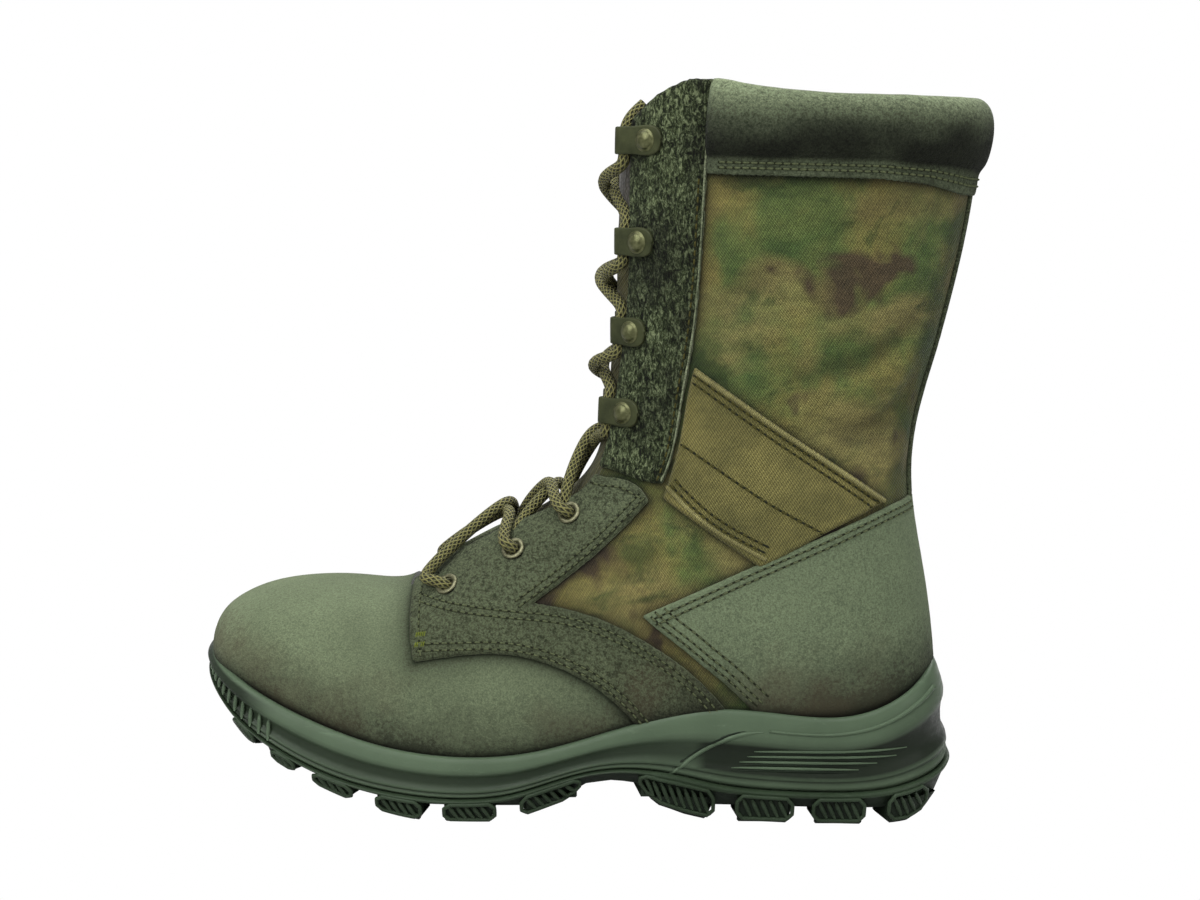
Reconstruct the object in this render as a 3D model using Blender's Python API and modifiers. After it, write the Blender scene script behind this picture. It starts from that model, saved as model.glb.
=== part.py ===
"""A left jungle boot: moulded sole, hollow leather and cloth upper, overlays, tongue, lace hardware.

X runs from the toe (minus) to the heel (plus), -Y is the outer side of the foot, +Z is up.
The origin is on the floor under the heel. Tables are in millimetres, meshes in metres.
"""

import math

import bmesh
import bpy
import numpy as np
from mathutils import Matrix, Vector

MM = 0.001
GAP = 0.3  # clearance between pieces that touch
WALL = 2.2  # leather and cloth wall of the upper
TONGUE_CLEARANCE = 0.8
OVERLAY = 1.5  # leather laid over the wall
STRIP_THICK = 1.9  # rough leather beside the throat
BAND = 1.0  # webbing laid over the wall

# Driving sizes of the shoe.
TOE_X = -263.0
HEEL_X = 39.5
SPRING_START = -164.5  # the sole lifts from the floor ahead of here
SPRING_RATE = 0.042
SOLE_STATIONS = 29  # points along each side of the sole's plan
SIDE_COLUMNS = 12  # surface columns from the front centre line to the back one, each side
RING_STEP = 0.7
SHAFT_FROM = 12.6  # the section number where the shaft begins, with its wider step
SHAFT_STEP = 1.2

# Sections of the upper, toe to collar. A section is a ring between a point on the front line and
# a point on the bottom or back line; out and inn are its half widths on the outer and inner side.
LAST = [
    # top_x, top_z, low_x, low_z, ridge_y, out, inn, widest, front_round, back_round, throat
    (-258.8, 61.5, -258.4, 48.0, 6.0, 8.0, 9.0, 0.50, 2.0, 2.0, 3.0),
    (-257.8, 66.5, -256.0, 45.0, 6.0, 17.0, 19.0, 0.58, 2.0, 2.2, 6.0),
    (-252.5, 71.5, -250.0, 41.5, 6.0, 27.5, 29.0, 0.62, 2.1, 2.4, 10.0),
    (-240.0, 78.0, -239.0, 37.0, 5.5, 36.0, 36.5, 0.64, 2.2, 2.8, 12.0),
    (-220.0, 81.4, -219.0, 29.0, 5.0, 43.0, 43.5, 0.66, 2.2, 3.2, 13.0),
    (-198.0, 81.8, -196.0, 20.5, 4.5, 47.0, 45.5, 0.68, 2.2, 3.6, 14.0),
    (-181.5, 79.6, -174.0, 14.5, 4.0, 48.5, 44.0, 0.70, 2.1, 4.0, 14.0),
    (-164.0, 94.5, -150.0, 13.0, 3.5, 48.5, 41.5, 0.72, 2.0, 4.0, 14.0),
    (-145.0, 107.5, -122.0, 14.5, 3.0, 46.0, 38.0, 0.72, 2.0, 4.0, 15.0),
    (-126.0, 118.0, -88.0, 20.5, 2.0, 41.0, 35.5, 0.68, 2.0, 4.0, 16.0),
    (-109.0, 130.0, -45.0, 26.3, 1.0, 38.0, 35.5, 0.62, 2.0, 4.0, 19.0),
    (-104.5, 148.0, 4.0, 26.5, 0.0, 36.5, 35.5, 0.58, 2.0, 3.2, 19.0),
    (-104.0, 161.0, 33.0, 32.0, 0.0, 36.5, 35.5, 0.56, 2.0, 2.4, 19.5),
    (-103.0, 175.0, 31.0, 62.0, 0.0, 36.5, 36.0, 0.55, 2.0, 2.3, 21.0),
    (-101.5, 188.0, 26.0, 92.0, 0.0, 36.5, 36.0, 0.54, 2.1, 2.3, 22.5),
    (-101.0, 200.0, 18.5, 122.0, 0.0, 37.0, 37.0, 0.53, 2.1, 2.2, 24.0),
    (-101.0, 212.0, 17.5, 150.0, 0.0, 38.0, 38.0, 0.52, 2.1, 2.2, 25.0),
    (-101.0, 225.0, 25.5, 180.0, 0.0, 39.5, 39.5, 0.51, 2.1, 2.2, 25.0),
    (-101.0, 240.0, 32.0, 210.0, 0.0, 41.0, 41.0, 0.50, 2.1, 2.2, 25.0),
    (-101.0, 256.0, 36.5, 238.0, 0.0, 42.0, 42.0, 0.50, 2.1, 2.2, 25.0),
    (-100.5, 272.0, 38.0, 264.0, 0.0, 42.5, 42.5, 0.50, 2.1, 2.2, 25.0),
    (-100.0, 290.0, 38.5, 290.0, 0.0, 42.5, 42.5, 0.50, 2.1, 2.2, 25.0),
]
VAMP_POINT = 6.2  # section number where the throat opens
OPEN_FROM, OPEN_TO = 2.0, 11.0  # sections between which the upper is open underneath
TOPLINE = [  # x, z of the wall's top edge
    (-104.0, 257.0), (-94.0, 264.0), (-84.0, 271.0), (-72.0, 277.5), (-62.0, 275.0),
    (-50.0, 271.5), (45.0, 271.0),
]

# Plan of the sole at its widest.
OUTLINE = [
    # x, outer_y, inner_y
    (-263.0, 6.0, 6.0),
    (-262.0, -11.0, 22.0),
    (-254.0, -29.5, 36.0),
    (-240.0, -42.5, 44.5),
    (-218.0, -49.0, 49.5),
    (-190.0, -52.8, 50.5),
    (-160.0, -53.8, 47.8),
    (-130.0, -51.5, 43.5),
    (-100.0, -46.0, 40.0),
    (-70.0, -42.5, 39.5),
    (-40.0, -41.0, 40.0),
    (-12.0, -40.5, 40.5),
    (14.0, -38.5, 38.5),
    (32.0, -29.0, 29.0),
    (39.5, -13.0, 13.0),
    (39.5, 0.0, 0.0),
]
RIM = [  # x, z of the sole's upper edge
    (-264.0, 56.0), (-250.0, 52.0), (-240.0, 48.5), (-225.0, 42.0), (-205.0, 34.5), (-185.0, 28.5),
    (-165.0, 25.5), (-145.0, 24.8), (-125.0, 26.5), (-105.0, 32.0), (-85.0, 38.5), (-65.0, 43.5),
    (-50.0, 45.0), (-32.0, 43.5), (-12.0, 41.5), (2.0, 43.5), (14.0, 48.5), (26.0, 56.0),
    (34.0, 63.0), (41.0, 67.0),
]
PARTING = [  # x, z of the line between midsole and outsole
    (-264.0, 50.0), (-254.0, 45.0), (-243.0, 36.0), (-230.0, 28.0), (-214.0, 20.5), (-200.0, 15.5),
    (-185.0, 12.0), (-165.0, 9.5), (-145.0, 9.3), (-130.0, 11.5), (-115.0, 17.0), (-100.0, 21.0),
    (-85.0, 21.5), (-70.0, 19.5), (-55.0, 15.5), (-40.0, 13.5), (-10.0, 13.0), (10.0, 14.0),
    (25.0, 17.0), (41.0, 21.0),
]
TREAD = [  # x, z of the tread ahead of the heel breast and behind the heel, on top of the toe spring
    (-264.0, 0.0), (-135.0, 0.0), (-125.0, 3.0), (-112.0, 8.0), (-105.0, 13.5), (-93.0, 15.0),
    (-83.0, 13.5), (-77.0, 6.5), (-66.0, 2.5), (-54.0, 0.0), (21.0, 0.0), (32.0, 4.5), (41.0, 12.0),
]
MIDSOLE_LEVELS = [
    # share of the height from parting line to rim, outward step, shift of the toe and heel ends
    (0.0, -1.4, 1.5, 0.0), (0.12, -2.0, 1.0, 0.0), (0.5, -1.6, 0.6, -2.0), (0.58, 0.0, 0.5, -2.6),
    (0.82, -1.0, 1.0, -4.5), (1.0, -2.6, 2.0, -6.5),
]
OUTSOLE_LEVELS = [
    # share of the height from tread to parting line, outward step, shift of the two ends
    (0.0, -2.0, 9.0, -3.0), (0.45, -0.6, 5.0, -0.5), (0.8, 0.3, 2.5, 0.0), (1.0, 0.0, 1.5, 0.0),
]
LUG_GAPS = [  # x of a gap between lugs, its width
    (-246.0, 4.0), (-229.5, 5.0), (-212.5, 5.0), (-188.5, 7.0), (-162.0, 6.0), (-133.0, 7.0),
    (-50.0, 6.0), (-20.0, 5.0), (8.5, 6.5),
]
LUG_DEPTH = [(-264.0, 3.0), (-235.0, 3.6), (-205.0, 5.0), (-190.0, 5.5), (41.0, 5.5)]  # x, depth
RING_GROOVE = (14.0, 18.5)  # inset of the groove inside the row of edge lugs

# Outlines of the overlays from the side, as x, z corners.
FACING = [
    (-178.0, 95.0), (-175.5, 84.0), (-174.5, 72.0), (-171.0, 60.0), (-151.0, 64.0), (-137.0, 65.0),
    (-123.0, 63.0), (-109.0, 57.5), (-99.0, 51.5), (-90.0, 43.5), (-82.0, 34.0), (-76.0, 20.0),
    (-40.0, 20.0), (-46.0, 38.0), (-53.0, 46.5), (-59.5, 54.0), (-68.0, 61.0), (-76.0, 66.5),
    (-89.0, 74.0), (-101.0, 79.0), (-114.0, 82.0), (-126.0, 83.0), (-114.0, 92.0), (-102.0, 102.0),
    (-93.0, 111.0), (-82.5, 123.0), (-86.0, 128.5), (-94.0, 131.0), (-101.0, 129.5),
    (-110.0, 132.5), (-122.0, 150.0), (-178.0, 150.0),
]
STRIP = [
    (-120.0, 139.0), (-107.0, 134.5), (-94.0, 133.0), (-86.5, 130.5), (-77.5, 130.0),
    (-74.5, 138.0), (-72.0, 150.0), (-70.5, 165.0), (-67.5, 182.0), (-65.5, 204.0),
    (-64.5, 240.0), (-63.0, 281.0), (-71.0, 281.0), (-83.0, 276.5), (-94.0, 265.0),
    (-99.0, 255.0), (-120.0, 255.0),
]
WEBBING = [
    (-76.5, 128.5), (-69.0, 121.0), (-57.0, 112.0), (-38.5, 103.5), (-30.0, 107.5), (-16.0, 114.5),
    (-3.0, 120.5), (8.0, 126.0), (-11.0, 139.5), (-32.0, 152.5), (-52.0, 166.0), (-66.5, 175.5),
    (-69.0, 165.0), (-70.5, 150.0), (-73.0, 138.0),
]
COUNTER = [
    (-84.0, 80.0), (-76.0, 73.5), (-68.0, 68.0), (-60.5, 61.5), (-53.0, 56.0), (-46.0, 49.5),
    (-38.0, 42.0), (-30.0, 20.0), (60.0, 20.0), (60.0, 126.5), (22.0, 125.5), (11.0, 124.5),
    (-3.0, 119.0), (-16.0, 113.0), (-30.0, 106.5), (-43.0, 100.0), (-56.0, 93.5), (-70.0, 86.5),
]
BACKSTAY_HALF_WIDTH = 9.0
BACKSTAY_Z = (128.0, 240.5)

# Section of the padded cuff: height, distance out from the upper's surface.
CUFF_SECTION = [
    (247.0, 0.4), (247.0, 2.4), (252.5, 2.6), (255.0, 4.6), (264.0, 6.8), (273.5, 4.8),
    (277.0, -0.8), (274.0, -7.2), (262.0, -9.2), (250.0, -5.4), (247.5, -2.7), (272.5, -2.7),
    (272.5, 0.4),
]
CUFF_FRONT_X = -61.5
CUFF_PEAK = [(-62.0, 5.0), (-52.0, 3.0), (-38.0, 1.0), (-20.0, 0.0), (25.0, 0.0), (40.0, 1.0)]
CUFF_DROP = [(-62.0, 0.0), (0.0, 0.5), (18.0, 2.0), (33.0, 5.5), (45.0, 6.0)]  # x, droop

# Lace hardware, seen from the side.
EYELETS = [(-160.0, 86.0), (-134.5, 100.5), (-113.0, 115.0)]
RIVETS = [  # x, z, lift of the loop off the strip
    (-92.0, 156.0, 0.6), (-89.5, 187.5, 0.6), (-87.5, 221.5, 0.6), (-85.5, 259.0, 0.6),
]
EYELET_HOLE = 3.4
LACE_RADIUS = 2.3
LACE_REACH = 7.0  # distance of the lace's side runs from the centre line

COLOURS = {
    # name: red, green, blue, roughness, metallic
    "rubber": (0.060, 0.080, 0.055, 0.45, 0.0),
    "midsole": (0.075, 0.100, 0.068, 0.40, 0.0),
    "leather": (0.095, 0.120, 0.075, 0.85, 0.0),
    "rough_leather": (0.080, 0.098, 0.070, 0.95, 0.0),
    "cloth": (0.150, 0.150, 0.065, 0.80, 0.0),
    "webbing": (0.170, 0.155, 0.065, 0.75, 0.0),
    "lining": (0.070, 0.065, 0.045, 0.90, 0.0),
    "metal": (0.200, 0.210, 0.140, 0.40, 0.6),
    "lace": (0.170, 0.160, 0.075, 0.80, 0.0),
}


def clear_scene():
    for obj in list(bpy.data.objects):
        bpy.data.objects.remove(obj)


def make_collection(name):
    collection = bpy.data.collections.new(name)
    bpy.context.scene.collection.children.link(collection)
    return collection


def make_materials():
    made = {}
    for name, (red, green, blue, roughness, metallic) in COLOURS.items():
        material = bpy.data.materials.new(name)
        material.use_nodes = True
        shader = material.node_tree.nodes["Principled BSDF"]
        shader.inputs["Base Color"].default_value = (red, green, blue, 1.0)
        shader.inputs["Roughness"].default_value = roughness
        shader.inputs["Metallic"].default_value = metallic
        made[name] = material
    return made


def spline(rows, at):
    """A uniform cubic B-spline that takes rows as its control points; at counts rows from 0."""
    rows = np.asarray(rows, float)
    controls = np.vstack([2 * rows[0] - rows[1], rows, 2 * rows[-1] - rows[-2]])
    at = np.clip(np.atleast_1d(np.asarray(at, float)), 0, len(rows) - 1 - 1e-9)
    start = np.floor(at).astype(int)
    f = (at - start)[:, None]
    weights = ((1 - f) ** 3, 3 * f**3 - 6 * f**2 + 4, -3 * f**3 + 3 * f**2 + 3 * f + 1, f**3)
    return sum(controls[start + k] * weight for k, weight in enumerate(weights)) / 6


def table(rows, x):
    columns = np.asarray(rows, float)
    return np.interp(x, columns[:, 0], columns[:, 1])


def toe_spring(x):
    ahead = np.maximum(SPRING_START - np.asarray(x, float), 0.0)
    return SPRING_RATE * ahead**1.5


def tread_z(x):
    return table(TREAD, x) + toe_spring(x)


def half_ring(section, side):
    """One side of a section, from the front line to the bottom or back line, evenly spaced."""
    top_x, top_z, low_x, low_z, ridge, out, inn, widest, front_round, back_round, throat = section
    width = -out if side < 0 else inn
    turn = np.linspace(0.0, math.pi, 97)
    sine, cosine = np.abs(np.sin(turn)), np.abs(np.cos(turn))
    front = turn <= math.pi / 2
    power = np.where(front, 2 / front_round, 2 / back_round)
    bulge = sine**power
    along = np.where(front, widest * (1 - cosine**power), widest + (1 - widest) * cosine**power)
    points = np.stack(
        [
            top_x + along * (low_x - top_x),
            ridge + (width - ridge) * bulge,
            top_z + along * (low_z - top_z),
        ],
        axis=1,
    )
    steps = np.linalg.norm(np.diff(points, axis=0), axis=1)
    distance = np.concatenate([[0.0], np.cumsum(steps)])
    columns = np.concatenate([[0.0], np.linspace(throat, distance[-1], SIDE_COLUMNS)])
    return np.stack([np.interp(columns, distance, points[:, axis]) for axis in range(3)], axis=1)


def surface(numbers):
    """Rings of the upper's surface at the section numbers: outer side first, front to back, then
    the inner side back to front. Shape: rings, columns, 3."""
    rings = []
    for section in spline(LAST, numbers):
        outer, inner = half_ring(section, -1), half_ring(section, 1)
        rings.append(np.vstack([outer, inner[-2:0:-1]]))
    return np.array(rings)


def normals_of(rings):
    around = np.roll(rings, -1, axis=1) - np.roll(rings, 1, axis=1)
    along = np.gradient(rings, axis=0)
    normal = np.cross(around, along)
    return normal / np.linalg.norm(normal, axis=2, keepdims=True)


def offset_surface(numbers, distance):
    rings = surface(numbers)
    grown = rings + normals_of(rings) * distance
    if numbers[0] == 0:
        grown[0, :, 0] -= distance
    return grown


def ring_numbers(start=0.0, stop=21.0):
    """The section numbers of the rings from start to stop. Every piece takes its rings from this
    one list, wider apart in the shaft than round the foot, so facets lie on facets."""
    foot = np.arange(0.0, SHAFT_FROM + 0.01, RING_STEP)
    shaft = np.arange(SHAFT_FROM + SHAFT_STEP, 20.1, SHAFT_STEP)
    numbers = np.concatenate([foot, shaft, [21.0]])
    return numbers[(numbers > start - 0.01) & (numbers < stop + 0.01)]


def add_object(name, mesh, collection, material=None):
    obj = bpy.data.objects.new(name, mesh)
    collection.objects.link(obj)
    if material:
        mesh.materials.append(material)
    return obj


def make_cutter(obj):
    obj.hide_render = True
    obj.display_type = "WIRE"
    return obj


def mesh_from(name, points, faces, smooth=True):
    mesh = bpy.data.meshes.new(name)
    mesh.from_pydata([tuple(p) for p in np.asarray(points).reshape(-1, 3) * MM], [], faces)
    work = bmesh.new()
    work.from_mesh(mesh)
    bmesh.ops.remove_doubles(work, verts=work.verts, dist=1e-6)
    loose = [vertex for vertex in work.verts if not vertex.link_faces]
    bmesh.ops.delete(work, geom=loose, context="VERTS")
    bmesh.ops.recalc_face_normals(work, faces=work.faces)
    work.to_mesh(mesh)
    work.free()
    if smooth:
        mesh.shade_smooth()
    return mesh


def grid_faces(ring_count, column_count, keep, closed=True):
    """Pairs of triangles between neighbouring rings. keep(ring, column) says which are there."""
    faces = []
    for ring in range(ring_count - 1):
        for column in range(column_count if closed else column_count - 1):
            if keep(ring, column):
                a, b = ring * column_count, (ring + 1) * column_count
                after = (column + 1) % column_count
                faces.append((a + column, b + column, b + after))
                faces.append((a + column, b + after, a + after))
    return faces


def solidify(obj, thickness, offset):
    modifier = obj.modifiers.new("wall", "SOLIDIFY")
    modifier.thickness = thickness * MM
    modifier.offset = offset
    return modifier


def boolean(obj, other, operation):
    modifier = obj.modifiers.new(operation.lower(), "BOOLEAN")
    modifier.operation = operation
    modifier.object = other


def make_upper(collection, material, cutters):
    """The hollow wall: open at the collar, down the throat and underneath."""
    numbers = ring_numbers(0.0, 20.0)
    rings = surface(numbers)
    rings[-1, :, 2] = table(TOPLINE, rings[-1, :, 0])
    columns = rings.shape[1]
    back = SIDE_COLUMNS

    def keep(ring, column):
        number = (numbers[ring] + numbers[ring + 1]) / 2
        in_throat = number > VAMP_POINT and column in (0, columns - 1)
        underneath = OPEN_FROM < number < OPEN_TO and back - 3 <= column < back + 3
        return not (in_throat or underneath)

    faces = grid_faces(len(rings), columns, keep)
    faces.append(tuple(range(columns)))
    obj = add_object("upper", mesh_from("upper", rings, faces), collection, material)
    face_outward(obj)
    solidify(obj, WALL, -1.0)
    for number, hole in enumerate(eyelet_frames()):
        boolean(obj, make_hole(f"hole_{number}", hole, cutters), "DIFFERENCE")
    return obj


def face_outward(obj):
    """Turns an open shell's faces away from the inside of the boot."""
    inside = Vector((-0.06, 0.0, 0.12))
    mesh = obj.data
    outward = sum(
        (polygon.center - inside).dot(polygon.normal) * polygon.area for polygon in mesh.polygons
    )
    if outward < 0:
        mesh.flip_normals()


def closed_form(name, distance, collection):
    """The whole upper as one solid, grown by a distance, to cut the sole and trim the insole."""
    rings = offset_surface(ring_numbers(), distance)
    columns = rings.shape[1]
    faces = grid_faces(len(rings), columns, lambda ring, column: True)
    faces.append(tuple(range(columns)))
    faces.append(tuple((len(rings) - 1) * columns + column for column in range(columns)))
    return make_cutter(add_object(name, mesh_from(name, rings, faces), collection))


def overlay_shell(name, sections, columns, thickness, collection, material):
    """A layer lying on the upper between two section numbers and two columns."""
    rings = offset_surface(ring_numbers(*sections), GAP)
    total = rings.shape[1]
    wanted = {column % total for column in range(columns[0], columns[1])}
    faces = grid_faces(len(rings), total, lambda ring, column: column in wanted)
    obj = add_object(name, mesh_from(name, rings, faces), collection, material)
    face_outward(obj)
    solidify(obj, thickness, 1.0)
    return obj


def prism(name, outline, low, high, collection, axis="Y"):
    """An outline in the XZ plane, drawn out along Y from low to high; or in YZ, along X."""
    count = len(outline)
    ends = []
    for depth in (low, high):
        for first, second in outline:
            ends.append((first, depth, second) if axis == "Y" else (depth, first, second))
    faces = [tuple(range(count)), tuple(range(count, 2 * count))]
    faces += [(i, (i + 1) % count, (i + 1) % count + count, i + count) for i in range(count)]
    mesh = mesh_from(name, ends, faces, smooth=False)
    return make_cutter(add_object(name, mesh, collection))


def sole_outline():
    """Outer and inner edge of the sole's plan, as two lines with the same count of points."""
    ends = 1.6  # sections bunch up towards toe and heel by this power
    share = np.linspace(-1, 1, SOLE_STATIONS)
    spread = np.sign(share) * (1 - (1 - np.abs(share)) ** ends)
    rows = spline(OUTLINE, (spread + 1) / 2 * (len(OUTLINE) - 1))
    return rows[:, [0, 1]], rows[:, [0, 2]]


def offset_loop(loop, distance):
    """A closed plan loop moved outward by a distance."""
    along = np.roll(loop, -1, axis=0) - np.roll(loop, 1, axis=0)
    along /= np.linalg.norm(along, axis=1, keepdims=True)
    outward = np.stack([along[:, 1], -along[:, 0]], axis=1)
    area = np.sum(loop[:, 0] * np.roll(loop[:, 1], -1) - np.roll(loop[:, 0], -1) * loop[:, 1])
    return loop + outward * distance * np.sign(area)


def plan_loop(distance=0.0):
    """The sole's plan as one loop: toe, outer side to the heel, inner side back to the toe."""
    outer, inner = sole_outline()
    return offset_loop(np.vstack([outer, inner[-2:0:-1]]), distance)


def layered_form(name, levels, low_z, high_z):
    """A solid of stacked plan loops. Its top and bottom are strips across, so both may curve."""
    loops = []
    for share, step, toe_shift, heel_shift in levels:
        loop = plan_loop(step)
        loop[:, 0] += toe_shift * np.clip((-215.0 - loop[:, 0]) / 46.0, 0.0, 1.0) ** 1.5
        loop[:, 0] += heel_shift * np.clip((loop[:, 0] - 5.0) / 34.0, 0.0, 1.0) ** 1.5
        low, high = low_z(loop[:, 0]), high_z(loop[:, 0])
        loops.append(np.column_stack([loop, low + share * (high - low)]))
    count = len(loops[0])
    half = count // 2
    faces = grid_faces(len(loops), count, lambda ring, column: True)
    for base in (0, (len(loops) - 1) * count):
        for i in range(half):
            mirror, after = (count - i) % count, count - i - 1
            corners = (base + i, base + i + 1, base + after, base + mirror)
            faces.append(tuple(dict.fromkeys(corners)))
    return mesh_from(name, np.array(loops), faces)


def make_midsole(collection, material, sock):
    mesh = layered_form(
        "midsole", MIDSOLE_LEVELS, lambda x: table(PARTING, x), lambda x: table(RIM, x)
    )
    obj = add_object("midsole", mesh, collection, material)
    boolean(obj, sock, "DIFFERENCE")
    return obj


def make_rim_clearance(cutters):
    """The midsole's outer form, grown a little, which trims the foot of the overlays."""
    levels = [(share, step + GAP, toe, heel) for share, step, toe, heel in MIDSOLE_LEVELS]
    mesh = layered_form(
        "rim_clearance", levels, lambda x: table(PARTING, x) - 12.0, lambda x: table(RIM, x) + GAP
    )
    return make_cutter(add_object("rim_clearance", mesh, cutters))


def make_outsole(collection, material, cutters, sock):
    mesh = layered_form(
        "outsole", OUTSOLE_LEVELS, tread_z, lambda x: table(PARTING, x) - GAP
    )
    obj = add_object("outsole", mesh, collection, material)
    boolean(obj, sock, "DIFFERENCE")
    boolean(obj, make_ring_groove(cutters), "DIFFERENCE")
    boolean(obj, make_lug_gaps(cutters), "DIFFERENCE")
    return obj


def groove_top(x):
    return toe_spring(x) + table(LUG_DEPTH, x) - 0.8


def make_ring_groove(cutters):
    """A closed channel that runs inside the edge lugs."""
    loops = []
    for inset, top in ((0, False), (0, True), (1, True), (1, False)):
        loop = plan_loop(-RING_GROOVE[inset])
        height = groove_top(loop[:, 0]) if top else np.full(len(loop), -10.0)
        loops.append(np.column_stack([loop, height]))
    loops.append(loops[0])
    rings = np.array(loops)
    faces = grid_faces(len(rings), rings.shape[1], lambda ring, column: True)
    mesh = mesh_from("ring_groove", rings, faces, smooth=False)
    return make_cutter(add_object("ring_groove", mesh, cutters))


def make_lug_gaps(cutters):
    """Channels across the tread, each tilted with the toe spring."""
    work = bmesh.new()
    for x, width in LUG_GAPS:
        slope = math.atan2(float(toe_spring(x - 1) - toe_spring(x + 1)), 2.0)
        depth = 30.0
        top = float(tread_z(x) + table(LUG_DEPTH, x))
        placing = Matrix.Translation(Vector((x, 0.0, top)) * MM) @ Matrix.Rotation(slope, 4, "Y")
        size = Matrix.Diagonal((width * MM, 0.16, depth * MM, 1.0))
        sunk = Matrix.Translation((0.0, 0.0, -depth / 2 * MM))
        bmesh.ops.create_cube(work, size=1.0, matrix=placing @ sunk @ size)
    mesh = bpy.data.meshes.new("lug_gaps")
    work.to_mesh(mesh)
    work.free()
    return make_cutter(add_object("lug_gaps", mesh, cutters))


def make_insole(collection, material, cutters):
    """The footbed: the inside of the upper, cut to a sheet that lies on the turned-in margin."""
    xs = np.linspace(-262.0, 45.0, 28)
    floor = spline([(row[2], row[3]) for row in LAST], np.linspace(0, 11.4, 80))
    order = np.argsort(floor[:, 0])
    height = np.interp(xs, floor[order, 0], floor[order, 1])
    bottom, thick, half = height + WALL + GAP + 0.4, 4.0, 60.0
    outline = list(zip(xs, bottom)) + list(zip(xs[::-1], (bottom + thick)[::-1]))
    obj = prism("insole", outline, -half, half, collection)
    obj.hide_render = False
    obj.display_type = "TEXTURED"
    obj.data.materials.append(material)
    boolean(obj, closed_form("insole_trim", -(WALL + GAP + 0.2), cutters), "INTERSECT")
    return obj


def make_tongue(collection, material):
    """A soft sheet behind the throat, from inside the vamp to the top."""
    numbers = ring_numbers(5.6, 19.6)
    rings = offset_surface(numbers, -(WALL + TONGUE_CLEARANCE))
    columns = rings.shape[1]
    wide = {column % columns for column in range(-3, 3)}
    faces = grid_faces(len(rings), columns, lambda ring, column: column in wide)
    obj = add_object("tongue", mesh_from("tongue", rings, faces), collection, material)
    face_outward(obj)
    solidify(obj, 3.0, -1.0)
    return obj


def make_overlays(collection, materials, cutters, rim):
    leather, rough = materials["leather"], materials["rough_leather"]
    back = SIDE_COLUMNS
    counter = overlay_shell("counter", (8.5, 16.2), (4, 2 * back - 4), OVERLAY, collection, leather)
    boolean(counter, prism("counter_outline", COUNTER, -90.0, 90.0, cutters), "INTERSECT")
    boolean(counter, rim, "DIFFERENCE")
    backstay = overlay_shell(
        "backstay", (14.5, 20.4), (back - 3, back + 3), OVERLAY, collection, leather
    )
    low, high = BACKSTAY_Z
    wide = BACKSTAY_HALF_WIDTH
    stay = [(-wide, low), (wide, low), (wide, high), (-wide, high)]
    boolean(backstay, prism("backstay_outline", stay, 0.0, 60.0, cutters, "X"), "INTERSECT")
    for name, side in (("outer", -1), ("inner", 1)):
        reach = sorted((0.0, side * 90.0))
        columns = (1, back) if side < 0 else (back, 2 * back - 1)
        facing = overlay_shell(f"facing_{name}", (5.8, 12.0), columns, OVERLAY, collection, leather)
        boolean(facing, prism(f"facing_{name}_outline", FACING, *reach, cutters), "INTERSECT")
        boolean(facing, rim, "DIFFERENCE")
        for number, hole in enumerate(eyelet_frames()):
            if hole.translation.y * side > 0:
                cutter = make_hole(f"hole_{name}_{number}", hole, cutters)
                boolean(facing, cutter, "DIFFERENCE")
        strip = overlay_shell(f"strip_{name}", (9.5, 21.0), columns, STRIP_THICK, collection, rough)
        boolean(strip, prism(f"strip_{name}_outline", STRIP, *reach, cutters), "INTERSECT")
        webbing = overlay_shell(
            f"webbing_{name}", (9.5, 17.0), columns, BAND, collection, materials["webbing"]
        )
        boolean(webbing, prism(f"webbing_{name}_outline", WEBBING, *reach, cutters), "INTERSECT")


def make_cuff(collection, material):
    """The padded collar: one section carried round the top edge, from side to side by the back."""
    wall = surface(ring_numbers(16.0, 21.0))
    outward = normals_of(wall)[-2]
    outward[:, 2] = 0.0
    outward /= np.linalg.norm(outward, axis=1, keepdims=True)
    behind = np.flatnonzero(wall[-2, :, 0] > CUFF_FRONT_X + 1.0)
    columns = np.arange(behind[0] - 1, behind[-1] + 2)
    rings = []
    for height, out in CUFF_SECTION:
        row = []
        for column in columns:
            line = wall[:, column]
            lift = table(CUFF_PEAK, line[-2, 0]) * max(0.0, (height - 262.0) / 15.0)
            drop = table(CUFF_DROP, line[-2, 0]) * max(0.0, (262.0 - height) / 15.0)
            z = height + lift - drop
            place = np.array([np.interp(z, line[:, 2], line[:, axis]) for axis in range(3)])
            place[2] = z
            row.append(place + outward[column] * out)
        row[0] = cut_at(row[1], row[0], CUFF_FRONT_X)
        row[-1] = cut_at(row[-2], row[-1], CUFF_FRONT_X)
        rings.append(row)
    rings = np.array(rings).transpose(1, 0, 2)
    count = rings.shape[1]
    faces = grid_faces(len(rings), count, lambda ring, column: True)
    faces.append(tuple(range(count)))
    faces.append(tuple((len(rings) - 1) * count + column for column in range(count)))
    return add_object("cuff", mesh_from("cuff", rings, faces), collection, material)


def cut_at(start, end, x):
    """The point between start and end that has this x."""
    share = (x - start[0]) / (end[0] - start[0])
    return start + share * (end - start)


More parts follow.
